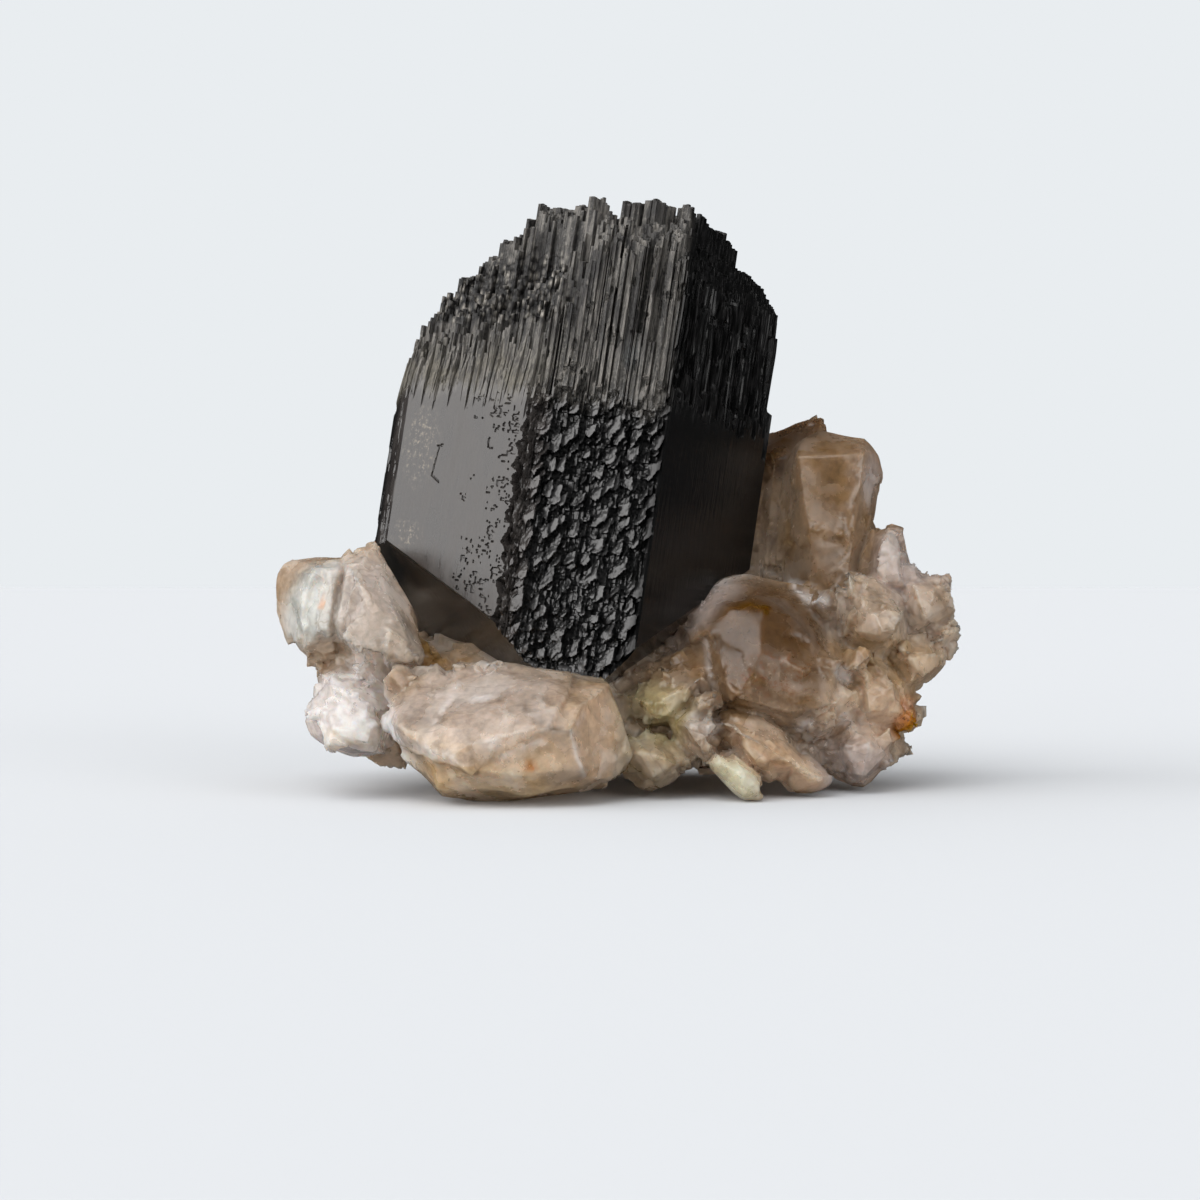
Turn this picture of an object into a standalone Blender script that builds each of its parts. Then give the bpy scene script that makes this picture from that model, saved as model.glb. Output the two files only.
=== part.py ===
"""A mineral specimen: a black tourmaline crystal standing in a bed of smoky quartz.

Two solids, both natural. The black crystal is one prism that leans a little to the right
and ends in a crown of parallel pillars. The quartz is many crystals grown into one bed,
with a socket where the black crystal stands. Lengths are millimetres until they are
scaled by MM. The origin is on the resting plane, under the middle of the specimen, with
+X to the right, +Y to the back and +Z up.
"""

import math

import bmesh
import bpy
from mathutils import Matrix, Vector

MM = 0.001
NAME = "smoky quartz specimen"

# Room between the two minerals, all round the socket
SOCKET_GAP = 0.3

# The black crystal's own frame: a point on its axis, and how far the axis leans
AXIS_POINT = (-6.5, 4.0, 40.8)
LEAN_RIGHT = 8.5
LEAN_BACK = 3.0

# Its flat faces as (turn to the right from straight ahead, tilt down, distance from the
# axis point). The prism has seven sides and the foot six bevels.
LEFT_FACE = (-36, 0, 17.6)
MIDDLE_FACE = (-6, 0, 17.6)
RIGHT_FACE = (54, 0, 20.1)
PRISM_FACES = (
    (-66, 0, 23.3),
    LEFT_FACE,
    MIDDLE_FACE,
    RIGHT_FACE,
    (114, 0, 23.0),
    (174, 0, 18.0),
    (-126, 0, 20.5),
)
FOOT_FACES = (
    (-58.6, 41.3, 24.7),
    (-100, 25, 28.4),
    (-6, 45, 30.7),
    (80, 38, 24.5),
    (160, 42, 30.0),
    (-140, 40, 29.5),
)
FOOT = -31.5
CROWN = 41.0
# The edge of the block that the faces are cut from, longer than the crystal
RAW_BLOCK = 120.0

# The crown seen from the front: from each place across, the pillars rise to this height
SKYLINE = (
    (-30.0, 14.5),
    (-24.0, 17.8),
    (-22.6, 21.4),
    (-20.7, 24.8),
    (-18.8, 27.8),
    (-16.8, 29.6),
    (-14.4, 32.0),
    (-11.1, 34.8),
    (-9.8, 37.0),
    (-0.9, 35.4),
    (1.8, 38.0),
    (9.6, 37.6),
    (12.4, 36.8),
    (15.2, 35.6),
    (16.9, 32.8),
    (19.6, 31.2),
    (21.8, 29.6),
    (23.6, 24.0),
)
# The height of the pillars along the front edge, read between these places across
FRONT_EDGE = (
    (-26.0, 13.0),
    (-20.0, 16.4),
    (-13.0, 17.4),
    (-7.0, 18.8),
    (-3.0, 22.2),
    (-1.5, 28.4),
    (4.0, 29.4),
    (10.0, 30.2),
    (11.2, 25.0),
    (24.0, 25.0),
)
SLOPE_DEPTH = 7.0
SLOPE_RISE = 1.25
# The same along the back, for the right back, back and left back faces
BACK_EDGES = (28.0, 22.0, 25.0)
BACK_RISE = 1.35
HOLLOW = (-0.5, 9.0, 4.0, 10.0, 5.5)
# The pillars stand square to the left face, in blocks of this many each way. The drops
# lower whole blocks, single pillars, and the few that are deep pits.
PILLAR_TURN = LEFT_FACE[0]
PILLAR = 1.9
PILLAR_WALL = 0.12
BLOCK = 3
BLOCK_DROP = 1.9
PILLAR_DROP = 1.3
PIT_DROP = 2.2
PIT_SHARE = 0.07
CROWN_HALF = (30.4, 28.5)
CROWN_UNDER = FOOT - 20.0

# Grooves run down from the crown on the three front faces, this far apart
GROOVE_PITCH = 1.9
GROOVE_WIDTHS = (0.35, 0.8)
GROOVE_DEPTHS = (0.35, 0.8)
GROOVE_ENDS = {LEFT_FACE: 7.6, MIDDLE_FACE: 8.4, RIGHT_FACE: 12.5}
GROOVE_SPREAD = 4.0
GROOVE_SHIFT = 0.5
GROOVE_OVER = 5.0

# The middle face below the grooves: plates stand in a shallow recess
RECESS_DEPTH = 0.8
RECESS_TOP = 7.6
RECESS_SIDE = 0.7
PLATE_FIELD_SIDE = 0.8
PLATE_FIELD_BOTTOM = -26.5
PLATE_ROWS = 11
PLATE_COLUMNS = 7
PLATE_WIDTHS = (0.46, 0.68)
PLATE_HEIGHTS = (0.5, 0.75)
PLATE_SHIFT = 0.3
PLATE_TURN = -20.0
PLATE_TURNS = (0.6, 1.4)
PLATE_TIP = 16.0
PLATE_THICK = 2.4
PLATE_MIDDLE = -1.75
PLATE_MARGIN = 1.0

# Quartz crystals in view. Each has a rim, the outline seen from the front as (across, up),
# at the depth of its widest part; corners on its front; and a back, as its depth and the
# share of the rim that is left there. Between the two it swells, and its end is uneven.
BACK_SHOULDER = 0.6
BACK_SWELL = 0.12
BACK_END = 0.55
BACK_UNEVEN = 1.5
RIM_CRYSTALS = {
    "left_end": {
        "rim": (
            (-36.8, 30.4),
            (-41.2, 30.3),
            (-42.8, 30.0),
            (-44.3, 29.1),
            (-45.0, 27.5),
            (-45.3, 25.5),
            (-45.0, 23.5),
            (-43.9, 19.8),
            (-42.8, 18.1),
            (-40.7, 16.2),
            (-36.8, 16.1),
            (-33.6, 20.0),
            (-33.4, 26.0),
        ),
        "depth": -6.0,
        "front": ((-39.4, -13.5, 28.3), (-36.5, -14.5, 28.6), (-41.6, -12.5, 24.9), (-39.0, -15.5, 20.6),
                  (-37.4, -16.0, 21.2), (-41.2, -12.0, 18.4)),
        "back": (6.0, 0.72),
    },
    "left_inner": {
        "rim": (
            (-36.2, 30.5),
            (-35.4, 31.3),
            (-32.3, 32.1),
            (-29.6, 27.6),
            (-27.4, 22.4),
            (-24.9, 17.6),
            (-26.7, 14.8),
            (-35.1, 15.5),
            (-38.3, 20.0),
            (-38.6, 23.4),
            (-37.5, 27.6),
        ),
        "depth": -8.0,
        "front": ((-34.2, -16.5, 28.0), (-31.9, -15.5, 26.6), (-28.9, -17.0, 22.6), (-26.4, -18.5, 18.0),
                  (-35.8, -17.5, 22.4), (-34.4, -18.5, 19.2), (-30.4, -19.5, 18.2)),
        "back": (4.0, 0.8),
    },
    "left_lump_high": {
        "rim": (
            (-39.9, 16.3),
            (-39.9, 12.2),
            (-38.0, 9.0),
            (-31.0, 8.6),
            (-28.6, 12.2),
            (-31.4, 15.6),
            (-36.0, 17.2),
        ),
        "depth": -11.0,
        "front": ((-36.6, -18.5, 14.4), (-33.4, -20.0, 13.2), (-37.4, -18.0, 10.6), (-31.6, -19.5, 10.4)),
        "back": (0.0, 0.8),
    },
    "left_lump_low": {
        "rim": (
            (-39.6, 11.6),
            (-40.5, 9.7),
            (-39.9, 8.0),
            (-38.5, 6.6),
            (-36.6, 5.7),
            (-34.1, 5.1),
            (-30.2, 5.1),
            (-28.8, 9.0),
            (-31.8, 12.4),
        ),
        "depth": -12.0,
        "front": ((-36.9, -20.0, 10.2), (-34.6, -21.5, 7.9), (-31.7, -22.0, 7.0), (-31.0, -21.0, 9.6)),
        "back": (0.0, 0.75),
    },
    "front_long": {
        "rim": (
            (-2.0, 14.2),
            (-0.7, 10.8),
            (0.9, 5.9),
            (-0.2, 2.9),
            (-1.4, 2.1),
            (-3.8, 1.3),
            (-9.2, 1.3),
            (-12.2, 0.6),
            (-16.8, -0.5),
            (-19.5, -0.1),
            (-23.1, 1.1),
            (-25.0, 3.3),
            (-28.4, 6.3),
            (-29.7, 9.7),
            (-28.4, 13.0),
        ),
        "depth": -19.5,
        "front": ((-26.2, -28.0, 9.2), (-23.1, -29.5, 6.8), (-18.4, -31.0, 5.4), (-15.4, -30.6, 7.4),
                  (-9.2, -30.0, 9.5), (-6.8, -29.8, 9.2), (-5.6, -27.8, 12.2), (-5.4, -28.4, 4.4),
                  (-27.0, -16.4, 16.0), (-21.4, -16.2, 17.0), (-16.0, -16.6, 16.9), (-9.0, -17.2, 15.6),
                  (-3.0, -17.6, 14.6), (-22.6, -26.0, 2.2), (-10.0, -27.0, 2.0)),
        "back": (-4.0, 0.82),
    },
    "middle_dome": {
        "rim": (
            (-1.6, 13.3),
            (2.0, 15.6),
            (4.6, 17.8),
            (9.5, 20.0),
            (13.0, 19.0),
            (14.3, 12.0),
            (9.8, 8.8),
            (3.3, 8.1),
            (-1.2, 9.4),
        ),
        "depth": -8.0,
        "front": ((1.8, -14.5, 12.2), (5.6, -15.5, 12.6), (9.6, -14.5, 15.0), (4.2, -16.0, 9.6)),
        "back": (2.0, 0.8),
    },
    "yellow_low": {
        "rim": (
            (-0.1, 2.7),
            (0.1, 7.4),
            (2.6, 8.7),
            (5.1, 7.9),
            (7.3, 6.5),
            (8.7, 5.0),
            (8.3, 3.3),
            (5.8, 1.6),
            (3.8, 0.8),
            (1.8, 1.3),
        ),
        "depth": -14.0,
        "front": ((1.6, -19.5, 6.0), (4.4, -20.5, 5.6), (6.6, -19.0, 4.6), (3.4, -19.5, 2.8)),
        "back": (-4.0, 0.8),
    },
    "small_brown": {
        "rim": (
            (5.8, 9.2),
            (8.2, 11.2),
            (11.2, 10.4),
            (12.4, 7.9),
            (11.4, 5.4),
            (10.1, 4.0),
            (8.3, 5.1),
            (6.6, 6.8),
        ),
        "depth": -14.0,
        "front": ((7.4, -18.5, 9.2), (8.6, -19.5, 7.2), (10.9, -19.0, 8.2), (9.8, -18.5, 5.4)),
        "back": (-4.0, 0.9),
    },
    "yellow_point": {
        "rim": (
            (10.2, 4.6),
            (11.6, 5.9),
            (13.8, 5.5),
            (15.9, 3.9),
            (17.0, 2.9),
            (17.5, 0.5),
            (16.9, -0.3),
            (15.0, -0.3),
            (12.4, 2.0),
        ),
        "depth": -19.0,
        "front": ((12.2, -22.0, 4.6), (14.6, -22.6, 3.4), (16.4, -21.6, 1.6), (14.6, -21.6, 1.0)),
        "back": (-6.0, 0.9),
    },
    "front_brown": {
        "rim": (
            (10.8, 9.9),
            (14.0, 11.0),
            (16.8, 10.4),
            (19.3, 8.8),
            (22.8, 5.6),
            (26.1, 2.7),
            (26.1, 1.7),
            (23.8, 0.3),
            (21.0, 0.3),
            (18.6, 1.6),
            (14.7, 4.2),
        ),
        "depth": -13.0,
        "front": ((13.6, -18.5, 9.0), (17.0, -19.5, 7.2), (21.2, -18.5, 4.4), (16.4, -18.5, 4.8),
                  (24.6, -15.5, 2.2)),
        "back": (-1.0, 0.85),
    },
    "brown_dome": {
        "rim": (
            (4.8, 16.9),
            (7.4, 21.6),
            (10.4, 25.3),
            (13.6, 27.4),
            (16.1, 28.0),
            (18.8, 27.7),
            (22.2, 27.0),
            (25.2, 26.1),
            (27.6, 24.2),
            (30.6, 20.0),
            (34.0, 14.0),
            (32.8, 8.0),
            (26.0, 4.6),
            (16.7, 8.0),
            (8.0, 10.0),
        ),
        "depth": -2.0,
        "front": ((9.6, -11.0, 20.4), (13.4, -12.0, 23.6), (18.0, -12.5, 23.8), (22.6, -11.0, 22.6),
                  (26.2, -12.0, 17.6), (12.0, -14.5, 17.0), (17.2, -16.0, 18.2), (22.4, -15.5, 15.8),
                  (27.4, -13.0, 11.2), (20.6, -16.0, 10.6), (14.0, -16.5, 12.4)),
        "back": (16.0, 0.72),
    },
    "right_clear": {
        "rim": (
            (26.0, 6.4),
            (29.7, 9.6),
            (33.7, 9.6),
            (36.4, 6.6),
            (35.6, 4.6),
            (33.5, 2.2),
            (31.6, 0.2),
            (29.6, 0.4),
            (27.4, 0.9),
            (25.4, 3.2),
        ),
        "depth": -4.0,
        "front": ((28.6, -11.0, 6.4), (31.4, -12.0, 6.8), (33.8, -9.5, 5.4), (30.6, -11.0, 2.4)),
        "back": (5.0, 0.82),
    },
    "tall_smoky": {
        "rim": (
            (22.0, 39.4),
            (22.8, 43.5),
            (24.3, 46.6),
            (26.2, 47.8),
            (27.9, 48.1),
            (33.2, 47.0),
            (34.2, 46.0),
            (35.3, 44.4),
            (35.8, 42.2),
            (35.7, 39.4),
            (34.8, 35.6),
            (33.8, 29.0),
            (32.6, 17.0),
            (22.5, 17.0),
            (21.5, 30.3),
        ),
        "depth": 12.0,
        "front": ((23.9, 6.0, 44.3), (32.6, 5.5, 44.6), (31.2, 4.0, 34.0), (25.2, 3.5, 33.0),
                  (29.4, 3.0, 20.0), (24.6, 4.0, 20.0)),
        "back": (19.5, 0.8),
    },
    "dark_behind": {
        "rim": (
            (16.5, 30.0),
            (19.3, 47.6),
            (27.4, 50.6),
            (28.3, 50.1),
            (30.2, 44.0),
            (30.0, 30.0),
            (27.0, 14.0),
            (17.0, 14.0),
        ),
        "depth": 18.0,
        "front": ((21.2, 13.0, 44.2), (26.6, 13.5, 46.2), (19.6, 12.5, 30.0)),
        "back": (25.0, 0.84),
    },
    "right_top": {
        "rim": (
            (31.5, 24.0),
            (32.4, 30.2),
            (33.6, 34.1),
            (36.1, 35.0),
            (38.0, 34.4),
            (38.7, 32.2),
            (39.3, 28.2),
            (36.8, 23.0),
        ),
        "depth": 6.0,
        "front": ((34.2, -1.0, 32.6), (36.8, 0.0, 31.6), (36.2, -2.4, 27.6), (33.2, -2.0, 27.4)),
        "back": (12.5, 0.84),
    },
    "right_upper": {
        "rim": (
            (35.6, 27.4),
            (39.4, 28.9),
            (41.2, 28.8),
            (43.3, 26.9),
            (44.6, 25.2),
            (44.9, 23.6),
            (44.0, 21.6),
            (41.0, 19.4),
            (36.0, 20.0),
        ),
        "depth": 4.0,
        "front": ((38.2, -4.0, 26.6), (41.0, -3.4, 26.0), (42.8, -2.4, 23.6), (39.6, -5.2, 22.0)),
        "back": (10.0, 0.8),
    },
    "right_tip": {
        "rim": (
            (40.4, 22.0),
            (43.8, 22.6),
            (45.3, 20.9),
            (43.7, 20.0),
            (43.5, 18.3),
            (39.6, 17.6),
        ),
        "depth": 2.0,
        "front": ((42.6, -2.6, 21.0), (41.6, -3.4, 19.4)),
        "back": (6.5, 0.8),
    },
    "right_round": {
        "rim": (
            (34.2, 18.0),
            (37.5, 20.4),
            (40.8, 20.4),
            (42.8, 17.8),
            (42.4, 16.0),
            (40.8, 14.3),
            (39.1, 13.1),
            (34.8, 12.6),
        ),
        "depth": 0.0,
        "front": ((36.6, -7.0, 18.4), (39.8, -6.4, 18.0), (40.8, -5.0, 16.2), (38.4, -7.0, 15.0)),
        "back": (7.5, 0.84),
    },
    "right_middle": {
        "rim": (
            (26.0, 22.0),
            (27.6, 26.0),
            (30.4, 28.4),
            (34.4, 28.4),
            (37.8, 25.0),
            (38.0, 19.6),
            (34.2, 15.4),
            (28.2, 15.0),
        ),
        "depth": 0.0,
        "front": ((30.6, -9.0, 25.4), (34.6, -8.4, 24.0), (33.6, -10.4, 20.0), (30.0, -10.2, 20.8)),
        "back": (12.0, 0.85),
    },
    "right_low": {
        "rim": (
            (27.6, 11.6),
            (29.4, 17.4),
            (34.6, 18.0),
            (38.6, 13.8),
            (38.0, 8.6),
            (34.0, 5.4),
            (28.4, 6.4),
        ),
        "depth": -1.0,
        "front": ((30.8, -10.4, 14.8), (34.4, -9.6, 13.4), (35.4, -8.4, 10.4), (31.4, -11.0, 10.6)),
        "back": (6.5, 0.85),
    },
    "rust_lump": {
        "rim": (
            (34.6, 11.6),
            (37.5, 12.4),
            (39.4, 11.9),
            (39.7, 9.0),
            (39.4, 7.5),
            (38.3, 6.6),
            (34.6, 7.0),
        ),
        "depth": -1.0,
        "front": ((36.4, -6.2, 10.8), (38.2, -5.0, 9.6), (36.8, -5.8, 8.2)),
        "back": (4.0, 0.85),
    },
}

# Smaller six-sided crystals as (foot, tip, half width, roll). The first eight are in
# front, the others go round the ends and the back, where the shape is free.
POINTED_CRYSTALS = (
    ((26.0, -3.0, 21.0), (26.6, -11.4, 26.6), 1.9, 20),
    ((29.4, -4.0, 20.0), (29.8, -11.6, 23.6), 1.5, 0),
    ((24.6, -7.0, 8.0), (26.4, -13.6, 11.0), 2.4, 35),
    ((28.6, -6.0, 15.0), (30.4, -12.6, 18.4), 1.8, 12),
    ((9.0, -12.0, 10.0), (11.6, -18.0, 13.4), 1.9, 48),
    ((38.0, 4.0, 24.0), (42.4, -1.0, 28.0), 2.2, 25),
    ((-26.0, -14.0, 11.0), (-29.0, -20.4, 16.2), 2.4, 10),
    ((-29.0, -9.0, 12.0), (-33.4, -16.0, 17.0), 2.2, 31),
    ((-24.0, 6.0, 10.0), (-41.6, 13.0, 19.0), 6.4, 8),
    ((-22.0, 10.0, 8.0), (-33.0, 27.0, 20.5), 6.6, 22),
    ((-12.0, 16.0, 6.0), (-18.0, 30.4, 15.0), 7.4, 40),
    ((-4.0, 16.0, 10.0), (-6.5, 29.0, 25.5), 5.8, 14),
    ((-16.0, 14.0, 14.0), (-21.5, 23.0, 29.5), 4.8, 33),
    ((2.0, 16.0, 6.0), (6.0, 30.77, 11.0), 7.2, 3),
    ((10.0, 16.0, 12.0), (12.0, 28.4, 27.0), 5.6, 50),
    ((18.0, 14.0, 8.0), (27.0, 29.6, 12.5), 7.0, 27),
    ((26.0, 14.0, 14.0), (34.0, 26.4, 25.0), 5.4, 9),
    ((28.0, 10.0, 10.0), (40.0, 20.0, 12.0), 5.6, 36),
    ((32.0, 8.0, 16.0), (44.0, 12.6, 18.0), 4.2, 18),
    ((30.0, 6.0, 8.0), (42.6, 10.0, 9.4), 4.4, 41),
    ((34.0, 10.0, 20.0), (42.6, 13.0, 25.4), 3.6, 6),
    ((32.0, 4.0, 6.0), (39.6, 4.4, 4.2), 3.4, 22),
    ((30.0, 14.0, 20.0), (37.6, 18.4, 30.0), 4.0, 30),
    ((20.0, 20.0, 20.0), (22.0, 27.0, 35.0), 4.2, 11),
    ((-26.0, 0.0, 8.0), (-40.0, 3.0, 9.5), 6.0, 18),
    ((-16.0, 12.0, 5.0), (-27.0, 20.5, 4.6), 6.4, 44),
    ((12.0, 18.0, 6.0), (16.5, 27.5, 4.2), 6.0, 20),
)

# Their points, as shares of the half width: how long the point is, how far the sides
# stand out, how uneven its shoulders are, and its short top ridge
POINT_LENGTH = 1.05
POINT_REACH = (0.86, 1.14)
SHOULDER_UNEVEN = 0.5
RIDGE_HALF = 0.22
RIDGE_STEP = 0.1

# The massive quartz that the crystals grow from, as corners
ROOT_MASS = (
    (-27, -9, 5),
    (-20, -14, 4),
    (4, -10, 4),
    (26, -7, 3),
    (34, 4, 3),
    (27, 18, 2),
    (0, 22, 1.5),
    (-20, 18, 2.5),
    (-29, 4, 6),
    (-28, -6, 18),
    (-18, -12, 14),
    (2, -8, 12),
    (22, -4, 16),
    (33, 6, 21),
    (28, 18, 23),
    (0, 21, 18),
    (-20, 17, 18),
    (-28, 6, 20),
)


# The block that holds everything below the resting plane
UNDER_SIZE = (120.0, 120.0, 20.0)


def hash01(i, j, salt):
    """The same number from 0 to 1 each time for one cell."""
    value = math.sin(i * 12.9898 + j * 78.233 + salt * 37.719) * 43758.5453
    return value - math.floor(value)


def clear_scene():
    for thing in list(bpy.data.objects):
        bpy.data.objects.remove(thing, do_unlink=True)


def new_collection(name):
    group = bpy.data.collections.new(name)
    bpy.context.scene.collection.children.link(group)
    return group


def material(name, colour, roughness):
    made = bpy.data.materials.new(name)
    made.use_nodes = True
    shader = made.node_tree.nodes["Principled BSDF"]
    shader.inputs["Base Color"].default_value = (*colour, 1.0)
    shader.inputs["Roughness"].default_value = roughness
    shader.inputs["Metallic"].default_value = 0.0
    return made


def object_from(bm, name, group):
    """Turns a bmesh in millimetres into an object in metres."""
    bmesh.ops.scale(bm, vec=(MM, MM, MM), verts=bm.verts)
    bmesh.ops.recalc_face_normals(bm, faces=bm.faces)
    mesh = bpy.data.meshes.new(name)
    bm.to_mesh(mesh)
    bm.free()
    made = bpy.data.objects.new(name, mesh)
    group.objects.link(made)
    return made


def as_guide(thing):
    thing.hide_render = True
    thing.display_type = "WIRE"
    return thing


def boolean(target, operation, other):
    change = target.modifiers.new(f"{operation.lower()} {other.name}", "BOOLEAN")
    change.operation = operation
    change.solver = "EXACT"
    if isinstance(other, bpy.types.Collection):
        change.operand_type = "COLLECTION"
        change.collection = other
    else:
        change.object = other


def face_normal(turn, tilt_down):
    turn, tilt_down = math.radians(turn), math.radians(tilt_down)
    flat = math.cos(tilt_down)
    return Vector((flat * math.sin(turn), -flat * math.cos(turn), -math.sin(tilt_down)))


def hull(points, name, group):
    bm = bmesh.new()
    corners = [bm.verts.new(p) for p in points]
    made = bmesh.ops.convex_hull(bm, input=corners)
    loose = {v for v in made["geom_interior"] + made["geom_unused"] if isinstance(v, bmesh.types.BMVert)}
    bmesh.ops.delete(bm, geom=list(loose), context="VERTS")
    return object_from(bm, name, group)


def axis_frame():
    """Where the black crystal's own frame lies: +Z runs up the crystal."""
    rightward = Matrix.Rotation(math.radians(LEAN_RIGHT), 4, "Y")
    backward = Matrix.Rotation(math.radians(-LEAN_BACK), 4, "X")
    return Matrix.Translation(Vector(AXIS_POINT) * MM) @ rightward @ backward


def cut_prism(name, group, grow=0.0):
    """A block cut by every flat face of the black crystal, each moved out by grow."""
    bm = bmesh.new()
    bmesh.ops.create_cube(bm, size=RAW_BLOCK)
    faces = [(face_normal(turn, tilt), away) for turn, tilt, away in PRISM_FACES + FOOT_FACES]
    faces += [(Vector((0, 0, -1)), -FOOT), (Vector((0, 0, 1)), CROWN)]
    for normal, away in faces:
        cut = bmesh.ops.bisect_plane(
            bm,
            geom=bm.verts[:] + bm.edges[:] + bm.faces[:],
            plane_co=normal * (away + grow),
            plane_no=normal,
            clear_outer=True,
        )
        edges = [e for e in cut["geom_cut"] if isinstance(e, bmesh.types.BMEdge)]
        bmesh.ops.contextual_create(bm, geom=edges)
    made = object_from(bm, name, group)
    made.matrix_world = axis_frame()
    return made


def step_at(across):
    height = SKYLINE[0][1]
    for start, top in SKYLINE:
        if across >= start:
            height = top
    return height


def between(limits, share):
    low, high = limits
    return low + share * (high - low)


def read_between(pairs, across):
    if across <= pairs[0][0]:
        return pairs[0][1]
    for (a, low), (b, high) in zip(pairs, pairs[1:]):
        if across <= b:
            return low + (high - low) * (across - a) / (b - a)
    return pairs[-1][1]


def inset(across, back, faces):
    """How far a point lies inside the nearest of these prism faces."""
    here = Vector((across, back, 0))
    return min(away - face_normal(turn, 0).dot(here) for turn, _, away in faces)


def crown_height(across, back):
    """The height of the pillars at a place on the crystal's cross-section, before the small steps."""
    behind = inset(across, back, (LEFT_FACE, MIDDLE_FACE, RIGHT_FACE))
    top = step_at(across)
    front = read_between(FRONT_EDGE, across)
    if behind < SLOPE_DEPTH:
        top = min(top, front + SLOPE_RISE * max(behind, 0))
    for face, edge in zip(PRISM_FACES[4:], BACK_EDGES):
        top = min(top, edge + BACK_RISE * max(inset(across, back, (face,)), 0))
    left, right, near, far, drop = HOLLOW
    if left < across < right and near < behind < far:
        top -= drop
    return top


def pillar_height(i, j, across, back):
    big = hash01(i // BLOCK, j // BLOCK, 1)
    small = hash01(i, j, 2)
    pit = PIT_DROP if hash01(i, j, 3) > 1 - PIT_SHARE else 0.0
    return crown_height(across, back) - BLOCK_DROP * big * big - PILLAR_DROP * small - pit


def crown_block(group):
    """A block whose top is a field of square pillars, each as high as the crystal is there."""
    turned = Matrix.Rotation(math.radians(PILLAR_TURN), 4, "Z")
    half_x, half_y = CROWN_HALF
    columns, rows = round(2 * half_x / PILLAR), round(2 * half_y / PILLAR)
    bm = bmesh.new()
    bmesh.ops.create_grid(bm, x_segments=2 * columns - 1, y_segments=2 * rows - 1, size=1.0)
    grid = sorted(bm.verts, key=lambda v: (round(v.co.y, 5), round(v.co.x, 5)))
    for n, vert in enumerate(grid):
        row, column = divmod(n, 2 * columns)
        i, right_side = divmod(column, 2)
        j, far_side = divmod(row, 2)
        middle = Vector((-half_x + (i + 0.5) * PILLAR, -half_y + (j + 0.5) * PILLAR, 0))
        reach = (PILLAR - PILLAR_WALL) / 2
        across, back, _ = turned @ middle
        vert.co = (
            middle.x + (reach if right_side else -reach),
            middle.y + (reach if far_side else -reach),
            pillar_height(i, j, across, back),
        )
    top = bm.faces[:]
    under = bmesh.ops.extrude_face_region(bm, geom=top)
    for vert in (v for v in under["geom"] if isinstance(v, bmesh.types.BMVert)):
        vert.co.z = CROWN_UNDER
    made = object_from(bm, "crown block", group)
    made.matrix_world = axis_frame() @ turned
    return as_guide(made)


def box_on_face(bm, face, along, up, size, depth_out, turn=0.0, tip=0.0):
    """Adds a box to bm on a prism face: along is its place across the face, up its height."""
    turn_face, _, away = face
    across = Vector((math.cos(math.radians(turn_face)), math.sin(math.radians(turn_face)), 0))
    out = face_normal(turn_face, 0)
    place = Matrix((across, -out, Vector((0, 0, 1)))).transposed().to_4x4()
    place.translation = across * along + out * (away + depth_out) + Vector((0, 0, up))
    twist = Matrix.Rotation(math.radians(turn), 4, "Z") @ Matrix.Rotation(math.radians(tip), 4, "X")
    sized = Matrix.Diagonal((*size, 1.0))
    bmesh.ops.create_cube(bm, size=1.0, matrix=place @ twist @ sized)


def face_span(face):
    """The two ends of a prism face, as places across it."""
    turn, _, away = face
    across = Vector((math.cos(math.radians(turn)), math.sin(math.radians(turn)), 0))
    out = face_normal(turn, 0)
    low, high = -RAW_BLOCK, RAW_BLOCK
    for other in PRISM_FACES:
        if other == face:
            continue
        normal = face_normal(other[0], 0)
        lean = normal.dot(across)
        if abs(lean) < 1e-6:
            continue
        limit = (other[2] - normal.dot(out) * away) / lean
        if lean > 0:
            high = min(high, limit)
        else:
            low = max(low, limit)
    return low, high


def grooves(group):
    bm = bmesh.new()
    for face, end in GROOVE_ENDS.items():
        low, high = face_span(face)
        count = int((high - low) / GROOVE_PITCH)
        for n in range(count):
            width = between(GROOVE_WIDTHS, hash01(n, face[0], 4))
            depth = between(GROOVE_DEPTHS, hash01(n, face[0], 5))
            along = low + (n + 0.6 + GROOVE_SHIFT * (hash01(n, face[0], 6) - 0.5)) * GROOVE_PITCH
            bottom = end + GROOVE_SPREAD * hash01(n, face[0], 7)
            tall = CROWN + GROOVE_OVER - bottom
            box_on_face(bm, face, along, bottom + tall / 2, (width, 2 * depth, tall), 0.0)
    made = object_from(bm, "grooves", group)
    made.matrix_world = axis_frame()
    return as_guide(made)


def middle_recess(group):
    low, high = face_span(MIDDLE_FACE)
    bm = bmesh.new()
    tall = RECESS_TOP - CROWN_UNDER
    size = (high - low - 2 * RECESS_SIDE, 2 * RECESS_DEPTH, tall)
    box_on_face(bm, MIDDLE_FACE, (low + high) / 2, RECESS_TOP - tall / 2, size, 0.0)
    made = object_from(bm, "middle recess", group)
    made.matrix_world = axis_frame()
    return as_guide(made)


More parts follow.
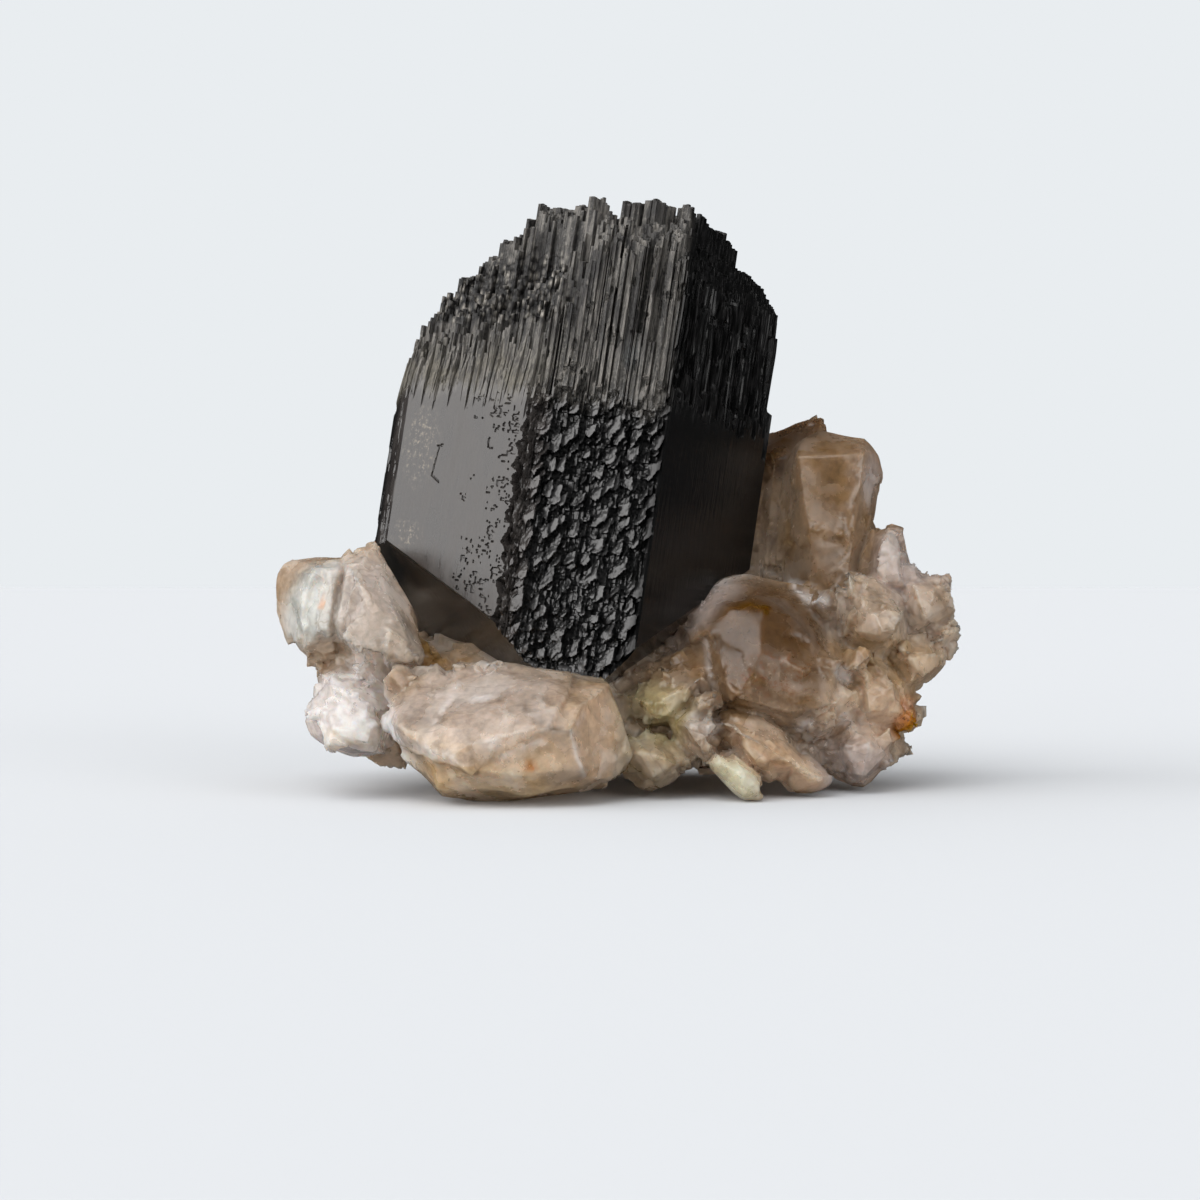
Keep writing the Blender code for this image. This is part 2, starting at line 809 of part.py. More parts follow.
def plates(group):
    """Blocky plates on the middle face, each turned a little towards the left face."""
    low, high = face_span(MIDDLE_FACE)
    pitch_x = (high - low - 2 * PLATE_FIELD_SIDE) / PLATE_COLUMNS
    pitch_z = (RECESS_TOP - PLATE_FIELD_BOTTOM) / PLATE_ROWS
    bm = bmesh.new()
    for row in range(PLATE_ROWS):
        for column in range(PLATE_COLUMNS):
            # Every other row stands half a pitch across, as bricks do
            course = 0.5 * (row % 2) - 0.25
            column_shift = course + PLATE_SHIFT * (hash01(column, row, 8) - 0.5)
            row_shift = PLATE_SHIFT * (hash01(column, row, 9) - 0.5)
            along = low + PLATE_FIELD_SIDE + (column + 0.5 + column_shift) * pitch_x
            up = RECESS_TOP - (row + 0.5 + row_shift) * pitch_z
            wide = pitch_x * between(PLATE_WIDTHS, hash01(column, row, 10))
            tall = pitch_z * between(PLATE_HEIGHTS, hash01(column, row, 11))
            clear = PLATE_MARGIN + wide / 2
            if not low + clear < along < high - clear:
                continue
            turn = PLATE_TURN * between(PLATE_TURNS, hash01(column, row, 12))
            tip = PLATE_TIP * (hash01(column, row, 13) - 0.5)
            box_on_face(bm, MIDDLE_FACE, along, up, (wide, PLATE_THICK, tall), PLATE_MIDDLE, turn, tip)
    made = object_from(bm, "plates", group)
    made.matrix_world = axis_frame()
    return as_guide(made)


def black_crystal(group, cutters):
    crystal = cut_prism("black_tourmaline_crystal", group)
    boolean(crystal, "DIFFERENCE", middle_recess(cutters))
    boolean(crystal, "UNION", plates(cutters))
    boolean(crystal, "DIFFERENCE", grooves(cutters))
    boolean(crystal, "INTERSECT", crown_block(cutters))
    crystal.data.materials.append(material("black tourmaline", (0.012, 0.011, 0.011), 0.35))
    return crystal


def rim_crystal(name, shape, group):
    depth = shape["depth"]
    back, share = shape["back"]
    rim = shape["rim"]
    middle_x = sum(x for x, _ in rim) / len(rim)
    middle_z = sum(z for _, z in rim) / len(rim)
    points = [(x, depth, z) for x, z in rim] + list(shape["front"])
    for n, (x, z) in enumerate(rim):
        if n % 2 == 0:
            drawn_in, away = share + BACK_SWELL, depth + BACK_SHOULDER * (back - depth)
        else:
            drawn_in, away = BACK_END * share, back - BACK_UNEVEN * hash01(n, len(rim), 22)
        points.append((middle_x + drawn_in * (x - middle_x), away, middle_z + drawn_in * (z - middle_z)))
    return as_guide(hull(points, name, group))


def pointed_crystal(number, foot, tip, half_width, roll, group):
    """A six-sided crystal whose point is cut by six sloping faces, some larger than others."""
    foot, tip = Vector(foot), Vector(tip)
    along = (tip - foot).normalized()
    side = along.orthogonal().normalized()
    up = along.cross(side)
    shoulder = tip - along * half_width * POINT_LENGTH
    points = []
    for n in range(6):
        angle = math.radians(roll + 60 * n)
        reach = half_width * between(POINT_REACH, hash01(number, n, 20))
        out = (side * math.cos(angle) + up * math.sin(angle)) * reach
        points.append(foot + out)
        points.append(shoulder + out - along * half_width * SHOULDER_UNEVEN * hash01(number, n, 21))
    roll = math.radians(roll)
    ridge = (side * math.cos(roll) + up * math.sin(roll)) * half_width * RIDGE_HALF
    points.append(tip + ridge)
    points.append(tip - ridge - along * half_width * RIDGE_STEP)
    return as_guide(hull(points, f"quartz point {number}", group))


def floor_block(group):
    """Everything below the resting plane."""
    bm = bmesh.new()
    place = Matrix.Translation((0, 0, -UNDER_SIZE[2] / 2)) @ Matrix.Diagonal((*UNDER_SIZE, 1.0))
    bmesh.ops.create_cube(bm, size=1.0, matrix=place)
    return as_guide(object_from(bm, "below the resting plane", group))


def quartz_bed(group, cutters):
    grown = new_collection("quartz crystals")
    for name, shape in RIM_CRYSTALS.items():
        rim_crystal(name.replace("_", " "), shape, grown)
    for number, (foot, tip, half_width, roll) in enumerate(POINTED_CRYSTALS):
        pointed_crystal(number, foot, tip, half_width, roll, grown)
    bed = hull(ROOT_MASS, "smoky_quartz_cluster", group)
    boolean(bed, "UNION", grown)
    boolean(bed, "DIFFERENCE", as_guide(cut_prism("socket", cutters, SOCKET_GAP)))
    boolean(bed, "DIFFERENCE", floor_block(cutters))
    bed.data.materials.append(material("smoky quartz", (0.55, 0.44, 0.36), 0.22))
    return bed


clear_scene()
specimen = new_collection(NAME)
tools = new_collection("cutters")
black_crystal(specimen, tools)
quartz_bed(specimen, tools)
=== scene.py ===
import math

import bmesh
import bpy
import numpy as np
from mathutils import Euler, Matrix, Vector
from mathutils.bvhtree import BVHTree
from mathutils.kdtree import KDTree


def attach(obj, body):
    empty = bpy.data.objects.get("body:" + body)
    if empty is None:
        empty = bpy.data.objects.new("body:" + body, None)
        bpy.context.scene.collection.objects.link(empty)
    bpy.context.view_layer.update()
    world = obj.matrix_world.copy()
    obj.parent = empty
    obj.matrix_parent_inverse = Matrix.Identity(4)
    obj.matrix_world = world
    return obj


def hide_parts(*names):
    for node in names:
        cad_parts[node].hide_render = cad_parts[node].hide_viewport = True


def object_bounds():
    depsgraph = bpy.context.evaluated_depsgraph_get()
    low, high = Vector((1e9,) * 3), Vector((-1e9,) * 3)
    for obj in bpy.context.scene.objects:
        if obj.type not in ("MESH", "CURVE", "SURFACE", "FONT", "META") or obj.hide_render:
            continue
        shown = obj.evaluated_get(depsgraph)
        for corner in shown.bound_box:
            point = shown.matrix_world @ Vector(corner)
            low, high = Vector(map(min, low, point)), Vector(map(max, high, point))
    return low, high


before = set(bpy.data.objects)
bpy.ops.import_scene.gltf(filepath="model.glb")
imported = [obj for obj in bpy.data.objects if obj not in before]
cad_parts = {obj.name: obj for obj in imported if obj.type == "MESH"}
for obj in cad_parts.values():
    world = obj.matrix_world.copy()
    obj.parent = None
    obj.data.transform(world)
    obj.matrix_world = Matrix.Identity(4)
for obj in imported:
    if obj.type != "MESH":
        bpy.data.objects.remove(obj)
cad_size = [list(corner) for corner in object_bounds()]
scene = bpy.context.scene


# ---------------------------------------------------------------- camera
# A long lens about 30 cm away, almost level, a little above the middle of the specimen.
camera_data = bpy.data.cameras.new("camera")
camera_data.sensor_width = 36.0
camera_data.lens = 67.62
camera_data.clip_start = 0.01
camera_data.clip_end = 60.0
camera = bpy.data.objects.new("camera", camera_data)
camera.location = (-0.0031, -0.300, 0.0268)
camera.rotation_euler = (math.radians(90 - 0.381), 0, 0)
scene.collection.objects.link(camera)
scene.camera = camera


# ---------------------------------------------------------------- black tourmaline crystal
# The real piece is one thick leaning prism of black tourmaline, flat-sided below, grooved
# above, with a middle face of small plates and a top of hundreds of thin square pillars.
# It is held by the quartz that grew round its foot.

# The crystal's own frame, in millimetres: +Z runs up the crystal
AXIS_POINT = (-6.5, 4.0, 40.8)
LEAN_RIGHT = math.radians(8.5)
LEAN_BACK = math.radians(3.0)
MM = 0.001

# Prism faces going round to the right, as turn from straight ahead and distance from the
# axis, and the spacing of the mesh columns on each
SIDES = (
    (-126, 20.5, 0.32),
    (-66, 23.3, 0.22),
    (-36, 17.6, 0.13),
    (-6, 17.6, 0.13),
    (54, 20.1, 0.16),
    (114, 23.0, 0.32),
    (174, 18.0, 0.32),
)
LEFT, MIDDLE, RIGHT = 2, 3, 4
# Bevels at the foot as turn, tilt down, distance
FOOT_BEVELS = (
    (-58.6, 41.3, 24.7),
    (-100, 25, 28.4),
    (-6, 45, 30.7),
    (80, 38, 24.5),
    (160, 42, 30.0),
    (-140, 40, 29.5),
)
FOOT = -31.5
CROWN = 41.0
# The crown from the front, as the place across where each step starts and its height
SKYLINE_START = (-30, -24, -22.6, -20.7, -18.8, -16.8, -14.4, -11.1, -9.8,
                 -0.9, 1.8, 9.6, 12.4, 15.2, 16.9, 19.6, 21.8, 23.6)
SKYLINE_TOP = (14.5, 17.8, 21.4, 24.8, 27.8, 29.6, 32.0, 34.8, 37.0,
               35.4, 38.0, 37.6, 36.8, 35.6, 32.8, 31.2, 29.6, 24.0)
EDGE_PLACE = (-26, -20, -13, -7, -3, -1.5, 4, 10, 11.2, 24)
EDGE_TOP = (13.0, 16.4, 17.4, 18.8, 22.2, 28.4, 29.4, 30.2, 25.0, 25.0)
BACK_EDGES = ((5, 28.0), (6, 22.0), (0, 25.0))


def hash01(i, j, salt):
    value = np.sin(i * 12.9898 + j * 78.233 + salt * 37.719) * 43758.5453
    return value - np.floor(value)


def soft_noise(x, y, salt):
    """Smooth noise from 0 to 1 with one bump per unit."""
    i, j = np.floor(x), np.floor(y)
    a, b = x - i, y - j
    a, b = a * a * (3 - 2 * a), b * b * (3 - 2 * b)
    low = hash01(i, j, salt) * (1 - a) + hash01(i + 1, j, salt) * a
    high = hash01(i, j + 1, salt) * (1 - a) + hash01(i + 1, j + 1, salt) * a
    return low * (1 - b) + high * b


def ramp(low, high, value):
    share = np.clip((value - low) / (high - low), 0.0, 1.0)
    return share * share * (3 - 2 * share)


def cells(start, end, small, large, salt):
    """Borders of a row of cells of uneven width."""
    borders = [start]
    while borders[-1] < end:
        borders.append(borders[-1] + small + (large - small) * float(hash01(len(borders), 0, salt)))
    return np.array(borders)


def flat_normal(turn, tilt=0.0):
    turn, tilt = math.radians(turn), math.radians(tilt)
    return np.array((math.cos(tilt) * math.sin(turn), -math.cos(tilt) * math.cos(turn), -math.sin(tilt)))


def new_object(name, points, faces):
    mesh = bpy.data.meshes.new(name)
    mesh.from_pydata([tuple(p) for p in points], [], [tuple(f) for f in faces])
    mesh.update()
    made = bpy.data.objects.new(name, mesh)
    scene.collection.objects.link(made)
    return made


def apply_modifiers(thing):
    bpy.context.view_layer.update()
    depsgraph = bpy.context.evaluated_depsgraph_get()
    done = bpy.data.meshes.new_from_object(thing.evaluated_get(depsgraph))
    thing.modifiers.clear()
    thing.data = done


def keep_common(thing, other):
    """Keep only what lies inside both."""
    change = thing.modifiers.new("cut", "BOOLEAN")
    change.operation = "INTERSECT"
    change.solver = "MANIFOLD"
    change.object = other
    apply_modifiers(thing)
    bpy.data.objects.remove(other, do_unlink=True)


def grid_faces(rows, columns, wrap):
    """Quads of a grid of points, row by row. With wrap the last column joins the first."""
    row = np.arange(rows - 1)[:, None]
    column = np.arange(columns if wrap else columns - 1)[None, :]
    beside = (column + 1) % columns
    quads = np.stack(
        (row * columns + column + 0 * beside, row * columns + beside,
         (row + 1) * columns + beside, (row + 1) * columns + column + 0 * beside), axis=-1)
    return quads.reshape(-1, 4)


# The outline of the prism: places along it, points, the way inwards and the face number
normals = [flat_normal(turn)[:2] for turn, _, _ in SIDES]
corners = []
for k in range(len(SIDES)):
    nearby = (k + 1) % len(SIDES)
    pair = np.array((normals[k], normals[nearby]))
    corners.append(np.linalg.solve(pair, (SIDES[k][1], SIDES[nearby][1])))
run, outline, inwards, side_of, from_left, to_right = [], [], [], [], [], []
travelled = 0.0
MITRE = 1.6  # how near a corner the way inwards starts to turn
WALL = 0.012  # half the slant of the wall between two pillars
# Borders of the pillars, as places along the outline: wide pillars, narrow ones, ribs
round_way = sum(float(np.linalg.norm(corners[k] - corners[k - 1])) for k in range(len(SIDES)))
borders = [cells(-1.0, round_way + 4.0, small, large, 31 + level)
           for level, (small, large) in enumerate(((1.5, 3.2), (0.5, 1.05), (0.22, 0.40)))]
gaps = [width * (0.4 + 1.2 * hash01(np.arange(len(row)), 3, 50 + level))
        for level, (width, row) in enumerate(zip((0.24, 0.15), borders))]
for k, (turn, _, spacing) in enumerate(SIDES):
    first, last = corners[k - 1], corners[k]
    length = float(np.linalg.norm(last - first))
    mitres = []
    for other in (k - 1, (k + 1) % len(SIDES)):
        mitres.append(-(normals[k] + normals[other]) / (1 + normals[k] @ normals[other]))
    places = np.arange(0, length - 0.05, spacing)
    if k in (1, LEFT, MIDDLE, RIGHT):
        # Two columns at each border, so that the walls between pillars stand square
        edges = np.concatenate((borders[0], borders[1], borders[0] + gaps[0], borders[1] + gaps[1]))
        edges = edges[(edges > travelled + 0.1) & (edges < travelled + length - 0.1)] - travelled
        wall = 5 * WALL if k == RIGHT else WALL
        places = places[np.min(np.abs(places[:, None] - edges[None]), axis=1) > 1.6 * wall + 0.02]
        places = np.unique(np.round(np.concatenate((places, edges - wall, edges + wall)), 4))
    for along in places:
        inward = -normals[k]
        if along < MITRE:
            inward = mitres[0] + (inward - mitres[0]) * along / MITRE
        elif length - along < MITRE:
            inward = mitres[1] + (inward - mitres[1]) * (length - along) / MITRE
        run.append(travelled + along)
        outline.append(first + (last - first) * along / length)
        inwards.append(inward)
        side_of.append(k)
        from_left.append(along)
        to_right.append(length - along)
    travelled += length
run, outline, inwards = np.array(run), np.array(outline), np.array(inwards)
side_of, from_left, to_right = np.array(side_of), np.array(from_left), np.array(to_right)

# Heights of the mesh rows: close together over the plates, further apart over the grooves
PLATES_END, CLOSE_ROWS, WIDE_ROWS = 9.0, 0.16, 0.42
heights = np.concatenate((
    np.arange(FOOT - 0.3, PLATES_END, CLOSE_ROWS), np.arange(PLATES_END, CROWN + 0.4, WIDE_ROWS)))
R, W = np.meshgrid(run, heights)
S, A, Z = (np.broadcast_to(row, R.shape) for row in (side_of, from_left, to_right))

# Grooves: pillars of uneven width side by side, each set back by its own amount, which
# changes slowly up its length, with a narrow gap between two of them. On the middle face
# the front of each narrow pillar is parallel to the left face.
band_end = np.array((9.0, 8.0, 8.6, 9.4, 11.8, 12.0, 10.0))[S] - 0.2 * A * (S == RIGHT)
groove = np.zeros(R.shape)
for level, set_back in enumerate((0.8, 0.36, 0.10)):
    index = np.searchsorted(borders[level], R) - 1
    from_border = R - borders[level][index]
    groove += set_back * soft_noise(7.0 * index, W / (7.0 + 4 * hash01(index, 1, 41 + level)), 47 + level)
    if level == 1:
        front = borders[1][index + 1] - R
        groove += (S == MIDDLE) * (0.56 * front - 0.12)
        ends = band_end + 4.2 * (hash01(index, 5, 56) ** 1.5) - 1.0 + 1.2 * hash01(index // 5, 6, 57)
        fringe = W - ends
    if level < 2:
        cut = (0.5 + 0.9 * hash01(index, 4, 53 + level)) * (1.7, 0.9)[level]
        cut *= soft_noise(5.0 * index, W / 5.0, 59 + level) > (0.22, 0.30)[level]
        gap = gaps[level][index] * (1 + 1.1 * (S == RIGHT))
        groove = np.where(from_border < gap, np.maximum(groove, cut + 0.3), groove)
# Chips out of the fronts of the pillars
chips = soft_noise(R / 0.55, W / 1.3, 160) * 0.6 + soft_noise(R / 1.6, W / 2.2, 161) * 0.4
groove += (0.45 - 0.3 * (S <= LEFT)) * ramp(0.70, 0.76, chips)
# A shallow wave so that no two stretches of the band stand equally proud
groove += 0.35 * soft_noise(R / 4.0, W / 14.0, 60)
depth = groove * ramp(-0.1, 0.5, fringe)
# On the left the grooves grow shallower downwards and end in fine ragged ticks
ragged_end = fringe + 1.5 + 1.2 * (soft_noise(R / 2.4, 0 * W, 163) - 0.5)
shallow = groove * ramp(-0.4, 6.5, ragged_end) + 0.14 * (groove > 0.7) * ramp(-1.0, 0.0, ragged_end)
depth = np.where(S <= LEFT, shallow, depth)
# Two deep slots beside the front edge, as place across, half width and lower end
for place, half, bottom in ((12.2, 0.36, 18.6), (13.9, 0.5, 17.8)):
    from_slot = np.abs(A - place + 0.15 * soft_noise(W / 2.0, 0 * W, 164))
    depth = np.where((S == MIDDLE) & (from_slot < half) & (W > bottom), 2.8, depth)

# Plates of the middle face. Each slopes back towards the left, so that it faces the left
# like the smooth face beside it, and stands proudest at its lower end.
across = A + 0.30 * (soft_noise(A / 0.8, W / 0.9, 61) - 0.5)
across = across + 0.14 * (soft_noise(A / 0.3, W / 0.35, 62) - 0.5)
upward = W + 0.50 * (soft_noise(A / 0.7, W / 1.0, 63) - 0.5)
upward = upward + 0.2 * (soft_noise(A / 0.25, W / 0.3, 64) - 0.5)
plates = 1.35 + 0.3 * soft_noise(A / 1.5, W / 2.5, 58)
# Width, height, climb to the next column, how far back they lie, and the share that is there
PLATE_LAYERS = ((3.0, 3.8, 1.4, 0.0, 0.84), (2.0, 2.9, 1.1, 0.22, 0.72), (1.1, 1.7, 0.7, 0.45, 0.42))
for layer, (wide, tall, climb, set_back, share) in enumerate(PLATE_LAYERS):
    shifted = across + 0.7 * wide * layer
    column = np.floor(shifted / wide)
    climbed = upward - climb * shifted / wide + 1.9 * hash01(column, 0, 65 + layer)
    row = np.floor(climbed / tall)
    a = shifted / wide - column
    b = climbed / tall - row
    left_edge = 0.02 + 0.26 * hash01(column, row, 71 + layer)
    right_edge = 0.72 + 0.26 * hash01(column, row, 74 + layer)
    lower_edge = 0.06 + 0.2 * hash01(column, row, 77 + layer)
    lower_edge = lower_edge + 0.45 * np.abs(a - 0.4 - 0.3 * hash01(column, row, 78 + layer))
    upper_edge = 0.6 + 0.36 * hash01(column, row, 80 + layer)
    slope = 0.48 + 0.20 * hash01(column, row, 83 + layer)
    lean_in = 0.22 * (hash01(column, row, 86 + layer) - 0.4)
    top_drop = 1.1 * np.clip(b - 0.4, 0, 1) * (0.4 + hash01(column, row, 89 + layer))
    plate = set_back + 0.22 * hash01(column, row, 92 + layer) + slope * wide * (right_edge - a)
    plate = plate + lean_in * tall * (b - lower_edge) + top_drop
    here = (a > left_edge) & (a < right_edge) & (b > lower_edge) & (b < upper_edge)
    here &= hash01(column, row, 68 + layer) < share
    plates = np.where(here, np.minimum(plates, np.maximum(plate, 0.02)), plates)
# Fine ribs in the gaps between the plates
RIB = 0.66
striae = np.floor(across / RIB)
stretch = np.floor((W + 3 * hash01(striae, 0, 95)) / 1.9)
ribs = 0.58 * RIB * (1 - across / RIB + striae) + 0.45 * hash01(striae, stretch, 96)
plates += (ribs - 0.55) * ramp(1.1, 1.3, plates)
foot_limit = 0.05 + 1.5 * hash01(np.floor(A / 0.4), 0, 59) ** 1.5 + 1.9 * ramp(-25.6, -24.2, W)
plates = np.minimum(plates, foot_limit)
below_band = 1 - ramp(-0.3, 0.6, fringe)
depth = np.where(S == MIDDLE, np.maximum(depth, plates * below_band), depth)

# The smooth left face breaks into the plates along a ragged edge, with short pits before it
on_left = S == LEFT
ragged = 0.25 + 2.1 * soft_noise(W / 2.3, 0.0 * W, 97) * soft_noise(W / 0.7, 0 * W, 98)
ragged = ragged + 0.5 * soft_noise(W / 0.3, Z, 99)
rough_edge = (0.3 + 1.5 * soft_noise(A / 0.4, W / 0.8, 100)) * below_band
depth = np.where(on_left & (Z < ragged), np.maximum(depth, rough_edge), depth)
pit_field = soft_noise(A / 0.42, W / 0.26, 101) * 0.6 + soft_noise(A / 1.7, W / 1.3, 102) * 0.4
pit_limit = 0.700 + 0.055 * ramp(3.0, 9.0, Z) + 0.4 * ramp(8.5, 12.0, Z)
pits = on_left & (pit_field > pit_limit) & (W < 9.0)
depth = np.where(pits, np.maximum(depth, 0.22), depth)
CRACK = (((6.6, 1.1), (6.0, -2.8)), ((6.0, -2.8), (7.4, -3.6)), ((6.3, 1.1), (7.1, 1.3)))
for (a0, w0), (a1, w1) in CRACK:
    step = np.array((a1 - a0, w1 - w0))
    share = np.clip(((A - a0) * step[0] + (W - w0) * step[1]) / (step @ step), 0, 1)
    away = np.hypot(A - a0 - share * step[0], W - w0 - share * step[1])
    depth = np.where(on_left & (away < 0.08 + 0.05 * soft_noise(A * 3, W * 3, 103)), 0.2, depth)

# The other faces have a few shallow steps
for k, most in ((0, 0.5), (1, 0.25), (5, 0.5), (6, 0.6)):
    stepped = soft_noise(A / 1.1, W / 5.0, 104 + k) * 0.5 + soft_noise(A / 0.35, W / 2.0, 111 + k) * 0.5
    level = most * np.floor(4 * ramp(0.55, 0.85, stepped)) / 4
    depth = np.where((S == k), np.maximum(depth, level), depth)

sides = np.empty(R.shape + (3,))
sides[..., :2] = outline[None] + inwards[None] * depth[..., None]
sides[..., 2] = W
rows, columns = R.shape
points = sides.reshape(-1, 3)
middles = [(0.0, 0.0, heights[0]), (0.0, 0.0, heights[-1])]
faces = [tuple(f) for f in grid_faces(rows, columns, True)]
under, over = rows * columns, rows * columns + 1
for n in range(columns):
    beside = (n + 1) % columns
    faces.append((under, beside, n))
    faces.append((over, (rows - 1) * columns + n, (rows - 1) * columns + beside))
black = new_object("black_tourmaline", np.concatenate((points, middles)), faces)

# The flat bevels and ends of the foot
bm = bmesh.new()
bmesh.ops.create_cube(bm, size=120.0)
cuts = [(flat_normal(turn, tilt), away) for turn, tilt, away in FOOT_BEVELS]
cuts += [(np.array((0, 0, -1.0)), -FOOT), (np.array((0, 0, 1.0)), CROWN)]
for normal, away in cuts:
    cut = bmesh.ops.bisect_plane(bm, geom=bm.verts[:] + bm.edges[:] + bm.faces[:],
                                 plane_co=Vector(normal) * away, plane_no=Vector(normal), clear_outer=True)
    bmesh.ops.contextual_create(bm, geom=[e for e in cut["geom_cut"] if isinstance(e, bmesh.types.BMEdge)])
bmesh.ops.recalc_face_normals(bm, faces=bm.faces)
foot_block = new_object(
    "foot block", [v.co[:] for v in bm.verts], [[v.index for v in f.verts] for f in bm.faces])
bm.free()
keep_common(black, foot_block)


# The crown: a field of square pillars, each as high as the crystal is there
def crown_height(x, y, forward):
    """How high the pillars stand at a place, and how far that is behind the front faces."""
    from_front = np.min(
        [SIDES[k][1] - (normals[k][0] * x + normals[k][1] * y) for k in (LEFT, MIDDLE, RIGHT)], axis=0)
    behind = np.maximum(from_front + forward * np.clip(from_front / 3.0, 0, 1), 0)
    top = np.array(SKYLINE_TOP)[np.clip(np.searchsorted(SKYLINE_START, x, side="right") - 1, 0, None)]
    front = np.interp(x, EDGE_PLACE, EDGE_TOP)
    top = np.where(behind < 7.0, np.minimum(top, front + 1.25 * np.maximum(behind, 0)), top)
    for k, edge in BACK_EDGES:
        inner = SIDES[k][1] - (normals[k][0] * x + normals[k][1] * y)
        top = np.minimum(top, edge + 1.35 * np.maximum(inner, 0))
    hollow = (x > -0.5) & (x < 9.0) & (behind > 4.0) & (behind < 10.0)
    return top - 5.5 * hollow, from_front


# The pillars stand square to the left face
CROWN_TURN = Matrix.Rotation(math.radians(SIDES[LEFT][0]), 4, "Z")
CROWN_HALF = (30.4, 28.5)
x_borders = cells(-CROWN_HALF[0], CROWN_HALF[0], 0.28, 0.66, 120)
y_borders = cells(-CROWN_HALF[1], CROWN_HALF[1], 0.30, 0.75, 121)
U, V = np.meshgrid((x_borders[1:] + x_borders[:-1]) / 2, (y_borders[1:] + y_borders[:-1]) / 2)
X = U * CROWN_TURN[0][0] + V * CROWN_TURN[0][1]
Y = U * CROWN_TURN[1][0] + V * CROWN_TURN[1][1]
wide_i, wide_j = np.floor((U + CROWN_HALF[0]) / 5.7), np.floor((V + CROWN_HALF[1]) / 5.7)
warp_u = U + 0.9 * soft_noise(U / 2.6, V / 2.2, 122)
warp_v = V + 0.9 * soft_noise(U / 2.3, V / 2.8, 123)
pillar_i, pillar_j = np.floor(warp_u / 2.0), np.floor(warp_v / 2.2)
rib_i, rib_j = np.floor((U + 0.4 * soft_noise(U / 1.1, V / 1.4, 131)) / 0.9), np.floor(V / 1.1)
# Each row of pillars stands a little further forward or back than its neighbours
forward = 1.4 * (hash01(pillar_i, 0, 129) - 0.5) + 0.7 * (hash01(rib_i, 0, 130) - 0.5)
shift = 1.5 * (hash01(pillar_i, 1, 129) - 0.5) + 1.3 * (hash01(rib_i, 1, 130) - 0.5)
top, behind = crown_height(X + shift * CROWN_TURN[0][1], Y + shift * CROWN_TURN[1][1], forward)
rubble = ramp(9.0, 6.5, behind) * ramp(0.0, -4.0, X)
top = top - 1.9 * hash01(wide_i, wide_j, 1) ** 2
top = top - (0.9 + 0.6 * rubble) * hash01(pillar_i, pillar_j, 124)
top = top - (0.35 + 1.1 * rubble) * hash01(rib_i, rib_j, 125) - 0.15 * hash01(U, V, 132)
# Their tops are rounded
for warped, wide in ((warp_u, 2.0), (warp_v, 2.2)):
    share = warped / wide - np.floor(warped / wide)
    top = top - 0.5 * (1 - ramp(0.0, 0.45, wide * np.minimum(share, 1 - share)))
# Here and there one is missing, more often among the stubby tips of the left shoulder
top = top - 2.4 * (hash01(pillar_i, pillar_j, 126) > 0.93)
top = top - 2.0 * rubble * (hash01(rib_i, rib_j, 127) > 0.80)
top = top - 1.5 * rubble * (hash01(U, V, 133) > 0.66)
# Seven deeper pits, as place across, from and to behind the front, half width and drop
CROWN_PITS = (
    (-16.1, 0.4, 2.6, 0.6, 2.2), (-13.5, 0.4, 2.4, 0.55, 2.0), (-10.4, 0.5, 2.9, 0.65, 2.4),
    (-7.9, 0.4, 2.4, 0.5, 2.0), (-12.4, 4.8, 6.6, 0.55, 2.3), (-10.1, 6.8, 8.8, 0.55, 2.6),
    (-3.7, 3.2, 5.2, 0.55, 2.3),
)
for place, near, far, half, drop in CROWN_PITS:
    top = top - drop * ((np.abs(X - place) < half) & (behind > near) & (behind < far))
rows, columns = top.shape
grid_x = np.repeat(x_borders, 2)[1:-1] + np.tile((WALL, -WALL), columns)
grid_y = np.repeat(y_borders, 2)[1:-1] + np.tile((WALL, -WALL), rows)
GX, GY = np.meshgrid(grid_x, grid_y)
high = np.stack((GX, GY, np.repeat(np.repeat(top, 2, axis=0), 2, axis=1)), axis=-1).reshape(-1, 3)
faces = [tuple(f) for f in grid_faces(2 * rows, 2 * columns, False)]
rim = list(range(0, 2 * columns)) + [r * 2 * columns + 2 * columns - 1 for r in range(1, 2 * rows)]
rim += list(range(4 * rows * columns - 2, (2 * rows - 1) * 2 * columns - 1, -1))
rim += [r * 2 * columns for r in range(2 * rows - 2, 0, -1)]
base = len(high)
bottom = [(high[i][0], high[i][1], FOOT - 20.0) for i in rim]
for n in range(len(rim)):
    beside = (n + 1) % len(rim)
    faces.append((rim[beside], rim[n], base + n, base + beside))
faces.append(tuple(base + n for n in reversed(range(len(rim)))))
crown = new_object("crown", np.concatenate((high, bottom)), faces)
crown.data.transform(CROWN_TURN)
keep_common(black, crown)

BLACK_TRIANGLES = 186000
change = black.modifiers.new("fewer faces", "DECIMATE")
change.ratio = min(1.0, BLACK_TRIANGLES / sum(len(p.vertices) - 2 for p in black.data.polygons))
apply_modifiers(black)
lean = Matrix.Rotation(LEAN_RIGHT, 4, "Y") @ Matrix.Rotation(-LEAN_BACK, 4, "X")
black.data.transform(Matrix.Scale(MM, 4) @ Matrix.Translation(Vector(AXIS_POINT)) @ lean)
for vertex in black.data.vertices:  # no pillar is higher than the CAD crystal
    vertex.co.z = min(vertex.co.z, cad_size[1][2])
black.data.name = "black_tourmaline"
for polygon in black.data.polygons:
    polygon.use_smooth = False


